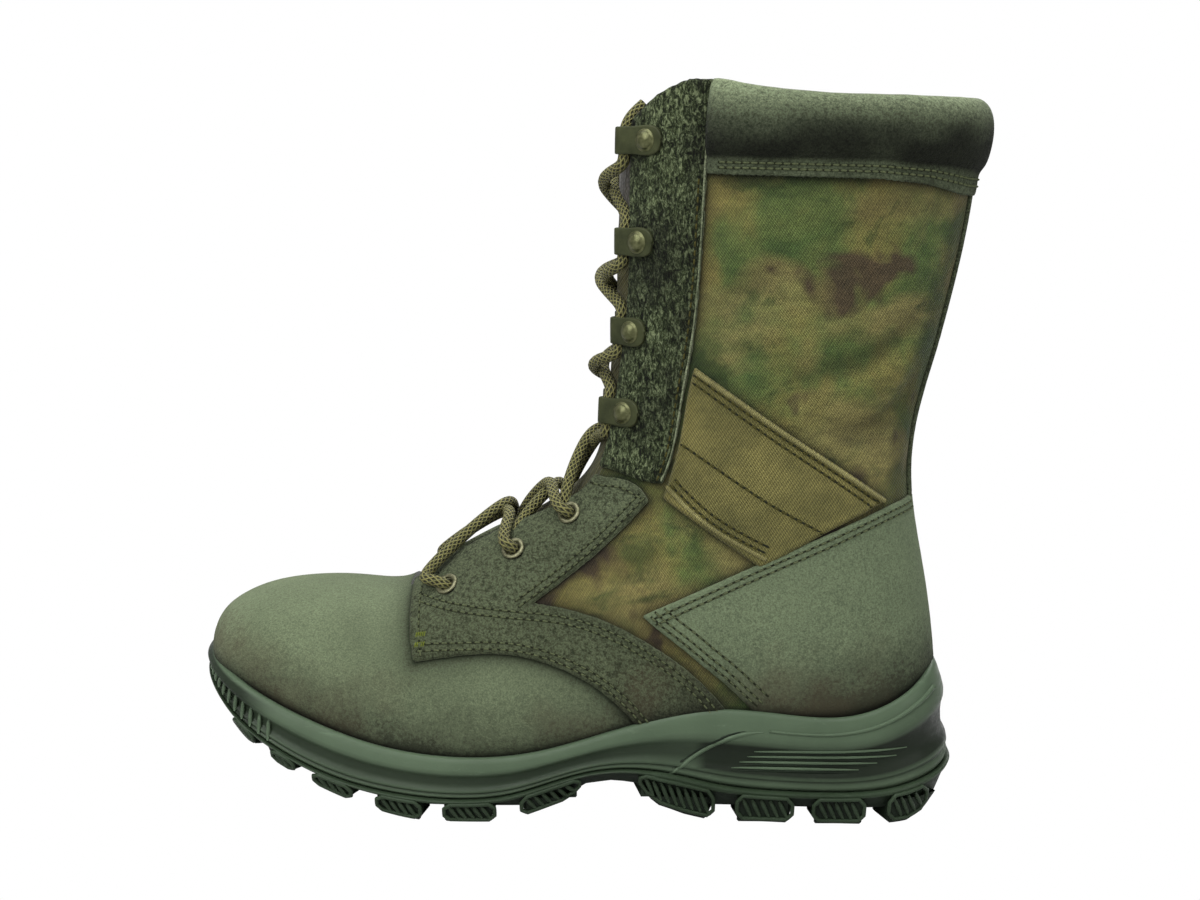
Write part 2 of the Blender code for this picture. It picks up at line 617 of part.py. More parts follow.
def frame_at(x, z, side):
    """Where a line from the side at x, z meets a facet of the upper: its place, with Z out of
    the facet and X towards the throat."""
    rings = surface(ring_numbers())
    normals = normals_of(rings)
    count = rings.shape[1]
    half = range(1, SIDE_COLUMNS) if side < 0 else range(SIDE_COLUMNS, count - 1)
    best = None
    for a, b, c in grid_faces(len(rings), count, lambda ring, column: column in half):
        corners = rings.reshape(-1, 3)[[a, b, c]]
        edges = corners[1:] - corners[0]
        if abs(np.linalg.det(edges[:, [0, 2]])) < 1e-6:
            continue
        share = np.linalg.solve(edges[:, [0, 2]].T, np.array([x, z]) - corners[0, [0, 2]])
        weights = np.array([1 - share.sum(), *share])
        place = weights @ corners
        if weights.min() >= -1e-6 and (best is None or abs(place[1]) > abs(best[0][1])):
            flat = np.cross(edges[0], edges[1])
            best = (place, flat * np.sign(flat @ normals.reshape(-1, 3)[a]))
    place, outward = best
    out = Vector(outward).normalized()
    forward = Vector((0.0, 0.0, 1.0)).cross(out).normalized() * side
    across = out.cross(forward)
    matrix = Matrix((forward, across, out)).transposed().to_4x4()
    matrix.translation = Vector(place) * MM
    return matrix


def eyelet_frames():
    return [frame_at(x, z, side) for side in (-1, 1) for x, z in EYELETS]


def make_hole(name, frame, cutters):
    work = bmesh.new()
    bmesh.ops.create_cone(
        work, cap_ends=True, segments=12, radius1=EYELET_HOLE * MM, radius2=EYELET_HOLE * MM,
        depth=0.012,
    )
    mesh = bpy.data.meshes.new(name)
    work.to_mesh(mesh)
    work.free()
    hole = make_cutter(add_object(name, mesh, cutters))
    hole.matrix_world = frame
    return hole


def turned(name, profile, collection, material, frame, steps=12):
    """A profile of radius, height rows turned about the frame's Z axis."""
    mesh = bpy.data.meshes.new(name)
    count = len(profile)
    mesh.from_pydata(
        [(radius * MM, 0.0, height * MM) for radius, height in profile],
        [(i, (i + 1) % count) for i in range(count if profile[0][0] > 0 else count - 1)],
        [],
    )
    obj = add_object(name, mesh, collection, material)
    screw = obj.modifiers.new("turn", "SCREW")
    screw.axis = "Z"
    screw.steps = screw.render_steps = steps
    screw.use_merge_vertices = True
    screw.merge_threshold = 1e-5
    obj.matrix_world = frame
    return obj


def make_eyelets(collection, material):
    seat = OVERLAY + GAP
    profile = [
        (2.5, seat + 2.2), (4.2, seat + 2.2), (4.8, seat + 1.2), (3.0, seat + 1.2),
        (3.0, -WALL + 0.2), (2.5, -WALL + 0.2),
    ]
    for number, frame in enumerate(eyelet_frames()):
        side = "outer" if number < len(EYELETS) else "inner"
        name = f"eyelet_{side}_{number % len(EYELETS) + 1}"
        turned(name, profile, collection, material, frame, steps=8)


def make_loops(collection, material):
    """Lace loops: a folded tab under a rivet, curled round the lace ahead of the strip."""
    thick, tall, bore = 1.1, 10.5, 2.6
    edge_line = offset_surface(ring_numbers(10.0, 21.0), GAP + STRIP_THICK)
    for side, side_name in ((-1, "outer"), (1, "inner")):
        for number, (x, z, lift) in enumerate(RIVETS, start=1):
            seat = GAP + STRIP_THICK + lift
            frame = frame_at(x, z, side)
            edge = edge_line[:, 1 if side < 0 else -1]
            edge_at = Vector([np.interp(z, edge[:, 2], edge[:, axis]) for axis in range(3)])
            ahead = (edge_at * MM - frame.translation).dot(frame.col[0].xyz) / MM
            reach = ahead + GAP + bore + thick + 0.4
            middle = (reach, seat - bore)
            arc = [math.radians(90 - 48 * step) for step in range(6)]
            under, over = [
                [(-5.0, height)]
                + [(middle[0] + far * math.cos(a), middle[1] + far * math.sin(a)) for a in arc]
                for far, height in ((bore, seat), (bore + thick, seat + thick))
            ]
            mesh = ribbon(f"loop_{side_name}_{number}", under, over, tall)
            loop = add_object(mesh.name, mesh, collection, material)
            loop.matrix_world = frame
            head = [
                (0.0, seat + thick + 2.0), (2.9, seat + thick + 1.6), (4.2, seat + thick + GAP),
                (0.0, seat + thick + GAP),
            ]
            turned(f"rivet_{side_name}_{number}", head, collection, material, frame)


def make_lace(collection, material):
    """The lace's runs over the tongue, joined from row to row into one cord."""
    above = LACE_RADIUS + 0.8 - WALL - TONGUE_CLEARANCE
    numbers = ring_numbers()
    rings = offset_surface(numbers, above)[(numbers > 6.9) & (numbers < 18.7)]
    points = []
    side = 1
    for row, ring in enumerate(rings):
        throat = np.linalg.norm(ring[1] - ring[0])
        reach = LACE_REACH / throat
        ends = {way: ring[0] + (ring[way] - ring[0]) * reach for way in (1, -1)}
        points.append(ends[side])
        if row % 2 == 0:
            points += [ring[0], ends[-side]]
            side = -side
    curve = bpy.data.curves.new("lace", "CURVE")
    curve.dimensions = "3D"
    curve.bevel_depth = LACE_RADIUS * MM
    curve.bevel_resolution = 2
    curve.use_fill_caps = True
    line = curve.splines.new("POLY")
    line.points.add(len(points) - 1)
    for point, place in zip(line.points, points):
        point.co = (*(Vector(place) * MM), 1.0)
    curve.materials.append(material)
    obj = bpy.data.objects.new("lace", curve)
    collection.objects.link(obj)


def ribbon(name, under, over, tall):
    """A strip between two lines in the local XZ plane, drawn out evenly along local Y."""
    half = tall / 2
    rings = np.array(
        [
            [(a, -half, b), (c, -half, d), (c, half, d), (a, half, b)]
            for (a, b), (c, d) in zip(under, over)
        ]
    )
    last = 4 * len(rings)
    faces = grid_faces(len(rings), 4, lambda ring, column: True)
    faces += [(0, 1, 2, 3), (last - 4, last - 3, last - 2, last - 1)]
    return mesh_from(name, rings, faces, smooth=False)


def main():
    clear_scene()
    boot = make_collection("jungle_boot")
    cutters = make_collection("cutters")
    materials = make_materials()
    sock = closed_form("sock", GAP, cutters)
    make_midsole(boot, materials["midsole"], sock)
    make_outsole(boot, materials["rubber"], cutters, sock)
    make_upper(boot, materials["cloth"], cutters)
    make_insole(boot, materials["lining"], cutters)
    make_tongue(boot, materials["cloth"])
    make_overlays(boot, materials, cutters, make_rim_clearance(cutters))
    make_cuff(boot, materials["leather"])
    make_eyelets(boot, materials["metal"])
    make_loops(boot, materials["metal"])
    make_lace(boot, materials["lace"])


main()
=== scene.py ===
"""Looks of the left jungle boot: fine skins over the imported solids, with procedural materials.

X runs from the toe (minus) to the heel (plus), -Y is the outer side, +Z is up. Tables are in
millimetres, in the shoe's own sizes, and objects are in metres.
"""

import math

import bmesh
import bpy
import numpy as np
from mathutils import Matrix, Vector
from mathutils.bvhtree import BVHTree


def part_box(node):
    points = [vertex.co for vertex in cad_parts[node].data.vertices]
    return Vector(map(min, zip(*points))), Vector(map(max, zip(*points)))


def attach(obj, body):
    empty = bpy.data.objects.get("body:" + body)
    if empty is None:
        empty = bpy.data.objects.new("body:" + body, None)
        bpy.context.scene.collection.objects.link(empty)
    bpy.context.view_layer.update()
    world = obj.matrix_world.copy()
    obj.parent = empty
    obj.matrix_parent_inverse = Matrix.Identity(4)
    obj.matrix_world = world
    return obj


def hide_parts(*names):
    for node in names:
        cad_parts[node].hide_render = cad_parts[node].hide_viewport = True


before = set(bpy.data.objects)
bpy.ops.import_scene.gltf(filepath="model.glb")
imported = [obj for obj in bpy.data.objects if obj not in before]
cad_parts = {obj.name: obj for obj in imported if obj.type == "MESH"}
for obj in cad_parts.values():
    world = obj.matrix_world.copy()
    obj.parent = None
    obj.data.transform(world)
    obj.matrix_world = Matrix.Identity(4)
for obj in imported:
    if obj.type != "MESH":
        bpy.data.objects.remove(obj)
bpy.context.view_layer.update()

MM = 0.001
SIDE_COLUMNS = 12

# Tables of the last and sole
LAST = [
    # top_x, top_z, low_x, low_z, ridge_y, out, inn, widest, front_round, back_round, throat
    (-258.8, 61.5, -258.4, 48.0, 6.0, 8.0, 9.0, 0.50, 2.0, 2.0, 3.0),
    (-257.8, 66.5, -256.0, 45.0, 6.0, 17.0, 19.0, 0.58, 2.0, 2.2, 6.0),
    (-252.5, 71.5, -250.0, 41.5, 6.0, 27.5, 29.0, 0.62, 2.1, 2.4, 10.0),
    (-240.0, 78.0, -239.0, 37.0, 5.5, 36.0, 36.5, 0.64, 2.2, 2.8, 12.0),
    (-220.0, 81.4, -219.0, 29.0, 5.0, 43.0, 43.5, 0.66, 2.2, 3.2, 13.0),
    (-198.0, 81.8, -196.0, 20.5, 4.5, 47.0, 45.5, 0.68, 2.2, 3.6, 14.0),
    (-181.5, 79.6, -174.0, 14.5, 4.0, 48.5, 44.0, 0.70, 2.1, 4.0, 14.0),
    (-164.0, 94.5, -150.0, 13.0, 3.5, 48.5, 41.5, 0.72, 2.0, 4.0, 14.0),
    (-145.0, 107.5, -122.0, 14.5, 3.0, 46.0, 38.0, 0.72, 2.0, 4.0, 15.0),
    (-126.0, 118.0, -88.0, 20.5, 2.0, 41.0, 35.5, 0.68, 2.0, 4.0, 16.0),
    (-109.0, 130.0, -45.0, 26.3, 1.0, 38.0, 35.5, 0.62, 2.0, 4.0, 19.0),
    (-104.5, 148.0, 4.0, 26.5, 0.0, 36.5, 35.5, 0.58, 2.0, 3.2, 19.0),
    (-104.0, 161.0, 33.0, 32.0, 0.0, 36.5, 35.5, 0.56, 2.0, 2.4, 19.5),
    (-103.0, 175.0, 31.0, 62.0, 0.0, 36.5, 36.0, 0.55, 2.0, 2.3, 21.0),
    (-101.5, 188.0, 26.0, 92.0, 0.0, 36.5, 36.0, 0.54, 2.1, 2.3, 22.5),
    (-101.0, 200.0, 18.5, 122.0, 0.0, 37.0, 37.0, 0.53, 2.1, 2.2, 24.0),
    (-101.0, 212.0, 17.5, 150.0, 0.0, 38.0, 38.0, 0.52, 2.1, 2.2, 25.0),
    (-101.0, 225.0, 25.5, 180.0, 0.0, 39.5, 39.5, 0.51, 2.1, 2.2, 25.0),
    (-101.0, 240.0, 32.0, 210.0, 0.0, 41.0, 41.0, 0.50, 2.1, 2.2, 25.0),
    (-101.0, 256.0, 36.5, 238.0, 0.0, 42.0, 42.0, 0.50, 2.1, 2.2, 25.0),
    (-100.5, 272.0, 38.0, 264.0, 0.0, 42.5, 42.5, 0.50, 2.1, 2.2, 25.0),
    (-100.0, 290.0, 38.5, 290.0, 0.0, 42.5, 42.5, 0.50, 2.1, 2.2, 25.0),
]
VAMP_POINT = 6.2
TOPLINE = [
    (-104.0, 257.0), (-94.0, 264.0), (-84.0, 271.0), (-72.0, 277.5), (-62.0, 275.0),
    (-50.0, 271.5), (45.0, 271.0),
]
OUTLINE = [
    (-263.0, 6.0, 6.0), (-262.0, -11.0, 22.0), (-254.0, -29.5, 36.0), (-240.0, -42.5, 44.5),
    (-218.0, -49.0, 49.5), (-190.0, -52.8, 50.5), (-160.0, -53.8, 47.8), (-130.0, -51.5, 43.5),
    (-100.0, -46.0, 40.0), (-70.0, -42.5, 39.5), (-40.0, -41.0, 40.0), (-12.0, -40.5, 40.5),
    (14.0, -38.5, 38.5), (32.0, -29.0, 29.0), (39.5, -13.0, 13.0), (39.5, 0.0, 0.0),
]
RIM = [
    (-264.0, 56.0), (-250.0, 52.0), (-240.0, 48.5), (-225.0, 42.0), (-205.0, 34.5),
    (-185.0, 28.5), (-165.0, 25.5), (-145.0, 24.8), (-125.0, 26.5), (-105.0, 32.0),
    (-85.0, 38.5), (-65.0, 43.5), (-50.0, 45.0), (-32.0, 43.5), (-12.0, 41.5), (2.0, 43.5),
    (14.0, 48.5), (26.0, 56.0), (34.0, 63.0), (41.0, 67.0),
]
PARTING = [
    (-264.0, 50.0), (-254.0, 45.0), (-243.0, 36.0), (-230.0, 28.0), (-214.0, 20.5),
    (-200.0, 15.5), (-185.0, 12.0), (-165.0, 9.5), (-145.0, 9.3), (-130.0, 11.5),
    (-115.0, 17.0), (-100.0, 21.0), (-85.0, 21.5), (-70.0, 19.5), (-55.0, 15.5), (-40.0, 13.5),
    (-10.0, 13.0), (10.0, 14.0), (25.0, 17.0), (41.0, 21.0),
]
TREAD = [
    (-264.0, 0.0), (-135.0, 0.0), (-125.0, 3.0), (-112.0, 8.0), (-105.0, 13.5), (-93.0, 15.0),
    (-83.0, 13.5), (-77.0, 6.5), (-66.0, 2.5), (-54.0, 0.0), (21.0, 0.0), (32.0, 4.5),
    (41.0, 12.0),
]
LUG_GAPS = [
    (-246.0, 4.0), (-229.5, 5.0), (-212.5, 5.0), (-188.5, 7.0), (-162.0, 6.0), (-133.0, 7.0),
    (-50.0, 6.0), (-20.0, 5.0), (8.5, 6.5),
]
LUG_DEPTH = [(-264.0, 3.0), (-235.0, 3.6), (-205.0, 5.0), (-190.0, 5.5), (41.0, 5.5)]
FACING = [
    (-178.0, 95.0), (-175.5, 84.0), (-174.5, 72.0), (-171.0, 60.0), (-151.0, 64.0),
    (-137.0, 65.0), (-123.0, 63.0), (-109.0, 57.5), (-99.0, 51.5), (-90.0, 43.5),
    (-82.0, 34.0), (-76.0, 20.0), (-40.0, 20.0), (-46.0, 38.0), (-53.0, 46.5), (-59.5, 54.0),
    (-68.0, 61.0), (-76.0, 66.5), (-89.0, 74.0), (-101.0, 79.0), (-114.0, 82.0),
    (-126.0, 83.0), (-114.0, 92.0), (-102.0, 102.0), (-93.0, 111.0), (-82.5, 123.0),
    (-86.0, 128.5), (-94.0, 131.0), (-101.0, 129.5), (-110.0, 132.5), (-122.0, 150.0),
    (-178.0, 150.0),
]
STRIP = [
    (-120.0, 139.0), (-107.0, 134.5), (-94.0, 133.0), (-86.5, 130.5), (-77.5, 130.0),
    (-74.5, 138.0), (-72.0, 150.0), (-70.5, 165.0), (-67.5, 182.0), (-65.5, 204.0),
    (-64.5, 240.0), (-63.0, 281.0), (-71.0, 281.0), (-83.0, 276.5), (-94.0, 265.0),
    (-99.0, 255.0), (-120.0, 255.0),
]
WEBBING = [
    (-77.0, 124.5), (-68.5, 118.8), (-57.0, 111.3), (-39.5, 100.2), (-30.0, 105.0),
    (-16.0, 114.5), (-3.0, 120.5), (8.0, 126.0), (-11.0, 139.5), (-32.0, 152.5),
    (-52.0, 166.0), (-66.5, 175.5), (-69.0, 165.0), (-70.5, 150.0), (-73.0, 138.0),
]
COUNTER = [
    (-84.0, 80.0), (-76.0, 73.5), (-68.0, 68.0), (-60.5, 61.5), (-53.0, 56.0), (-46.0, 49.5),
    (-38.0, 42.0), (-30.0, 20.0), (60.0, 20.0), (60.0, 126.5), (22.0, 125.5), (11.0, 124.5),
    (-3.0, 119.0), (-16.0, 113.0), (-30.0, 106.5), (-43.0, 100.0), (-56.0, 93.5), (-70.0, 86.5),
]
CUFF_FRONT_X = -63.2
CUFF_PEAK = [(-62.0, 5.0), (-52.0, 3.0), (-38.0, 1.0), (-20.0, 0.0), (25.0, 0.0), (40.0, 1.0)]
CUFF_DROP = [(-62.0, 0.0), (0.0, 0.5), (18.0, 2.0), (33.0, 5.5), (45.0, 6.0)]
EYELET_HOLE = 2.6
EYELETS = [(-160.0, 86.0), (-134.5, 100.5), (-113.0, 115.0)]
RIVETS = [(-92.0, 156.0), (-89.5, 187.5), (-87.5, 221.5), (-85.5, 259.0)]

# Creases of the cloth and leather: both ends as x, z, half width, height of the
# ridge (minus is a trough), and the side (-1 outer, 1 inner, 0 both).
CREASES = [
    (18, 172, -8, 148, 4.2, -2.2, 0), (20, 187, -16, 166, 5.0, 1.9, 0),
    (22, 202, -30, 172, 4.6, -1.7, 0), (16, 150, 4, 134, 3.4, 1.5, 0),
    (12, 160, -22, 155, 3.6, -1.2, -1), (26, 222, -12, 206, 6.0, 1.1, -1),
    (-60, 197, -18, 214, 6.0, -1.1, -1), (-60, 214, -30, 236, 6.0, 1.0, -1),
    (-56, 184, -30, 190, 5.0, 0.9, -1), (-44, 243, 10, 239, 4.0, -1.2, 0),
    (-30, 228, 2, 219, 4.5, 0.9, 1), (-58, 205, -22, 195, 5.0, -1.1, 1),
    (-28, 182, 4, 196, 5.0, 0.9, -1), (-20, 224, 20, 236, 4.5, -0.9, -1),
    (-106, 84, -84, 96, 4.0, -1.1, 0), (-98, 92, -74, 108, 4.5, 1.1, 0),
    (-68, 97, -50, 103, 4.0, -0.8, 0), (-112, 90, -92, 82, 3.0, 0.8, -1),
    (-90, 112, -76, 118, 3.5, -0.8, 0),
    (-60, 150, -34, 138, 5.0, -0.6, 0), (-44, 122, -16, 128, 4.0, 0.6, 0),
    (-176, 79, -160, 58, 6.0, -0.7, 0), (-188, 78, -176, 54, 6.0, 0.55, 0),
    (-200, 77, -190, 62, 7.0, -0.4, 0),
]


def spline(rows, at):
    """A uniform cubic B-spline that takes rows as its control points."""
    rows = np.asarray(rows, float)
    controls = np.vstack([2 * rows[0] - rows[1], rows, 2 * rows[-1] - rows[-2]])
    at = np.clip(np.atleast_1d(np.asarray(at, float)), 0, len(rows) - 1 - 1e-9)
    start = np.floor(at).astype(int)
    f = (at - start)[:, None]
    weights = ((1 - f) ** 3, 3 * f**3 - 6 * f**2 + 4, -3 * f**3 + 3 * f**2 + 3 * f + 1, f**3)
    return sum(controls[start + k] * weight for k, weight in enumerate(weights)) / 6


def table(rows, x):
    """The value at x between the table's rows."""
    columns = np.asarray(rows, float)
    return np.interp(x, columns[:, 0], columns[:, 1])


def soft_table(rows, x):
    """The table as a smooth line."""
    line = spline(rows, np.linspace(0, len(rows) - 1, 12 * len(rows)))
    return np.interp(x, line[:, 0], line[:, 1])


def toe_spring(x):
    """How far the toe rises off the floor at x."""
    return 0.042 * np.maximum(-164.5 - np.asarray(x, float), 0.0) ** 1.5


def tread_z(x):
    """Height of the tread's lowest surface at x."""
    return table(TREAD, x) + toe_spring(x)


# Small noise in plain code
def lattice(ix, iy, iz):
    """A fixed number from 0 to 1 for each lattice point."""
    value = np.sin(ix * 127.1 + iy * 311.7 + iz * 74.7) * 43758.5453
    return value - np.floor(value)


def noise(points, scale):
    """Smooth value noise from -1 to 1 at points in millimetres."""
    p = np.asarray(points, float) / scale
    base = np.floor(p)
    f = p - base
    f = f * f * (3 - 2 * f)
    total = 0.0
    for dx in (0, 1):
        for dy in (0, 1):
            for dz in (0, 1):
                weight = 1.0
                for axis, step in enumerate((dx, dy, dz)):
                    weight = weight * (f[..., axis] if step else 1 - f[..., axis])
                corner = lattice(base[..., 0] + dx, base[..., 1] + dy, base[..., 2] + dz)
                total = total + weight * corner
    return 2 * total - 1


# The surface, as fine as wanted
def half_ring(section, side, at):
    """Points on one side of a section at column numbers from 0 (front line) to 12."""
    top_x, top_z, low_x, low_z, ridge, out, inn, widest, front_round, back_round, throat = section
    width = -out if side < 0 else inn
    turn = np.linspace(0.0, math.pi, 193)
    sine, cosine = np.abs(np.sin(turn)), np.abs(np.cos(turn))
    front = turn <= math.pi / 2
    power = np.where(front, 2 / front_round, 2 / back_round)
    bulge = sine**power
    along = np.where(front, widest * (1 - cosine**power), widest + (1 - widest) * cosine**power)
    points = np.stack([
        top_x + along * (low_x - top_x),
        ridge + (width - ridge) * bulge,
        top_z + along * (low_z - top_z),
    ], axis=1)
    steps = np.linalg.norm(np.diff(points, axis=0), axis=1)
    distance = np.concatenate([[0.0], np.cumsum(steps)])
    at = np.asarray(at, float)
    share = np.clip(at - 1.0, 0.0, None) / (SIDE_COLUMNS - 1.0)
    wanted = np.where(at < 1.0, at * throat, throat + share * (distance[-1] - throat))
    return np.stack([np.interp(wanted, distance, points[:, axis]) for axis in range(3)], axis=1)


def surface(numbers, at):
    """Rings at section numbers; columns run 0..12 down the outer side, then back up the inner."""
    at = np.asarray(at, float)
    rings = []
    for section in spline(LAST, numbers):
        outer = half_ring(section, -1, np.minimum(at, 12.0))
        inner = half_ring(section, 1, np.clip(24.0 - at, 0.0, 12.0))
        rings.append(np.where((at <= 12.0)[:, None], outer, inner))
    return np.array(rings)


FINE = 0.1
GRID_U = np.arange(0.0, 21.0001, FINE)
GRID_C = np.arange(0.0, 24.0, FINE)
BASE = surface(GRID_U, GRID_C)


def normals_of(rings, closed=True):
    """Outward normals of a grid of rings."""
    if closed:
        around = np.roll(rings, -1, axis=1) - np.roll(rings, 1, axis=1)
    else:
        around = np.gradient(rings, axis=1)
    along = np.gradient(rings, axis=0)
    normal = np.cross(around, along)
    return normal / np.maximum(np.linalg.norm(normal, axis=2, keepdims=True), 1e-9)


BASE_N = normals_of(BASE)
for _ in range(4):  # even out the small kinks where the columns change their spacing
    BASE_N = (np.roll(BASE_N, 1, 1) + 2 * BASE_N + np.roll(BASE_N, -1, 1)) / 4
BASE_N /= np.linalg.norm(BASE_N, axis=2, keepdims=True)


def crease_height(points):
    """Height in millimetres that the creases add at points."""
    total = np.zeros(points.shape[:-1])
    for x0, z0, x1, z1, half, high, side in CREASES:
        start, run = np.array([x0, z0]), np.array([x1 - x0, z1 - z0], float)
        away = points[..., [0, 2]] - start
        share = np.clip((away @ run) / (run @ run), 0.0, 1.0)
        bend = 0.12 * np.sin(share * math.pi)[..., None] * np.array([-run[1], run[0]])
        near = start + share[..., None] * run + bend
        gap = np.linalg.norm(points[..., [0, 2]] - near, axis=-1)
        taper = np.clip(np.sin(math.pi * (0.08 + 0.84 * share)), 0.0, 1.0)
        amount = high * np.exp(-((gap / half) ** 2)) * taper
        if side:
            amount = amount * (points[..., 1] * side > 0)
        total += amount
    edge = np.clip((np.abs(points[..., 1]) - 4.0) / 8.0, 0.0, 1.0)
    soft = 0.35 * noise(points, 26.0) * np.clip((points[..., 0] + 190.0) / 40.0, 0.15, 1.0)
    return total * edge + soft * edge


FORM = BASE + BASE_N * crease_height(BASE)[..., None]
FORM_N = normals_of(FORM)
for _ in range(2):
    FORM_N = (np.roll(FORM_N, 1, 1) + 2 * FORM_N + np.roll(FORM_N, -1, 1)) / 4
FORM_N /= np.linalg.norm(FORM_N, axis=2, keepdims=True)


def sample(grid, u, c):
    """Values of a grid array at section numbers u and column numbers c."""
    u = np.clip(np.asarray(u, float) / FINE, 0, len(GRID_U) - 1.000001)
    c = (np.asarray(c, float) / FINE) % len(GRID_C)
    u0, c0 = np.floor(u).astype(int), np.floor(c).astype(int)
    fu, fc = (u - u0)[..., None], (c - c0)[..., None]
    c1 = (c0 + 1) % len(GRID_C)
    low = grid[u0, c0] * (1 - fc) + grid[u0, c1] * fc
    high = grid[u0 + 1, c0] * (1 - fc) + grid[u0 + 1, c1] * fc
    return low * (1 - fu) + high * fu


# Objects
def collection_of(name):
    made = bpy.data.collections.new(name)
    bpy.context.scene.collection.children.link(made)
    return made


LOOKS = collection_of("looks")


def add_mesh(name, points, faces, materials, smooth=True, tags=None, uvs=None):
    """A mesh object from points in millimetres, with a material per face tag."""
    mesh = bpy.data.meshes.new(name)
    mesh.from_pydata((np.asarray(points, float).reshape(-1, 3) * MM).tolist(), [], faces)
    for material in materials:
        mesh.materials.append(material)
    if tags is not None:
        mesh.polygons.foreach_set("material_index", np.asarray(tags, np.int32))
    if uvs is not None:
        layer = mesh.uv_layers.new(name="UVMap")
        loops = np.zeros(len(mesh.loops), np.int32)
        mesh.loops.foreach_get("vertex_index", loops)
        layer.data.foreach_set("uv", np.asarray(uvs, float)[loops].ravel())
    if smooth:
        mesh.shade_smooth()
    mesh.update()
    obj = bpy.data.objects.new(name, mesh)
    LOOKS.objects.link(obj)
    return obj


def set_shade_and_dirt(obj, values):
    """Stores how much painted shade, with some dirt, each point gets, for the materials to darken."""
    layer = obj.data.attributes.new("shade_and_dirt", "FLOAT", "POINT")
    layer.data.foreach_set("value", np.clip(np.asarray(values, float).ravel(), 0.0, 1.0))


def ring_faces(rows, cols, closed=False):
    """Faces between rings of points that lie one after another, the last joined to the first if closed."""
    faces = []
    for i in range(rows if closed else rows - 1):
        j = (i + 1) % rows
        for k in range(cols):
            n = (k + 1) % cols
            faces.append((i * cols + k, i * cols + n, j * cols + n, j * cols + k))
    return faces


def join_parts(parts):
    """Joins (points, faces) pairs to one pair."""
    points, faces, base = [], [], 0
    for some_points, some_faces in parts:
        points.append(np.asarray(some_points, float).reshape(-1, 3))
        faces += [tuple(i + base for i in face) for face in some_faces]
        base += len(points[-1])
    return np.vstack(points), faces


def stand_for(obj, nodes):
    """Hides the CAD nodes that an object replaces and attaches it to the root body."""
    if nodes:
        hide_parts(*nodes)
    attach(obj, "root")


def tube(path, radius, sides=10, closed=False, caps=True, around=None):
    """Points and faces of a tube along a path in millimetres; radius may be one per point."""
    path = np.asarray(path, float)
    count = len(path)
    radius = np.broadcast_to(np.asarray(radius, float), (count,))
    if closed:
        ahead = np.roll(path, -1, 0) - np.roll(path, 1, 0)
    else:
        ahead = np.gradient(path, axis=0)
    ahead /= np.maximum(np.linalg.norm(ahead, axis=1, keepdims=True), 1e-9)
    first = np.array([0.0, 0.0, 1.0]) if around is None else np.asarray(around, float)
    if abs(ahead[0] @ first) > 0.9:
        first = np.array([1.0, 0.0, 0.0])
    up = first - ahead[0] * (ahead[0] @ first)
    points, faces = [], []
    for i in range(count):
        up = up - ahead[i] * (ahead[i] @ up)
        up /= max(np.linalg.norm(up), 1e-9)
        across = np.cross(ahead[i], up)
        turn = np.linspace(0, 2 * math.pi, sides, endpoint=False)
        points.append(path[i] + radius[i] * (np.cos(turn)[:, None] * up + np.sin(turn)[:, None] * across))
    for i in range(count if closed else count - 1):
        a, b = i * sides, ((i + 1) % count) * sides
        for k in range(sides):
            n = (k + 1) % sides
            faces.append((a + k, b + k, b + n, a + n)[::-1])
    if caps and not closed:
        faces.append(tuple(range(sides)))
        faces.append(tuple(range(count * sides - 1, (count - 1) * sides - 1, -1)))
    return np.vstack(points), faces


# Materials
def new_material(name):
    """A material with its node tree and shader."""
    material = bpy.data.materials.new(name)
    material.use_nodes = True
    tree = material.node_tree
    shader = tree.nodes["Principled BSDF"]
    return material, tree, shader


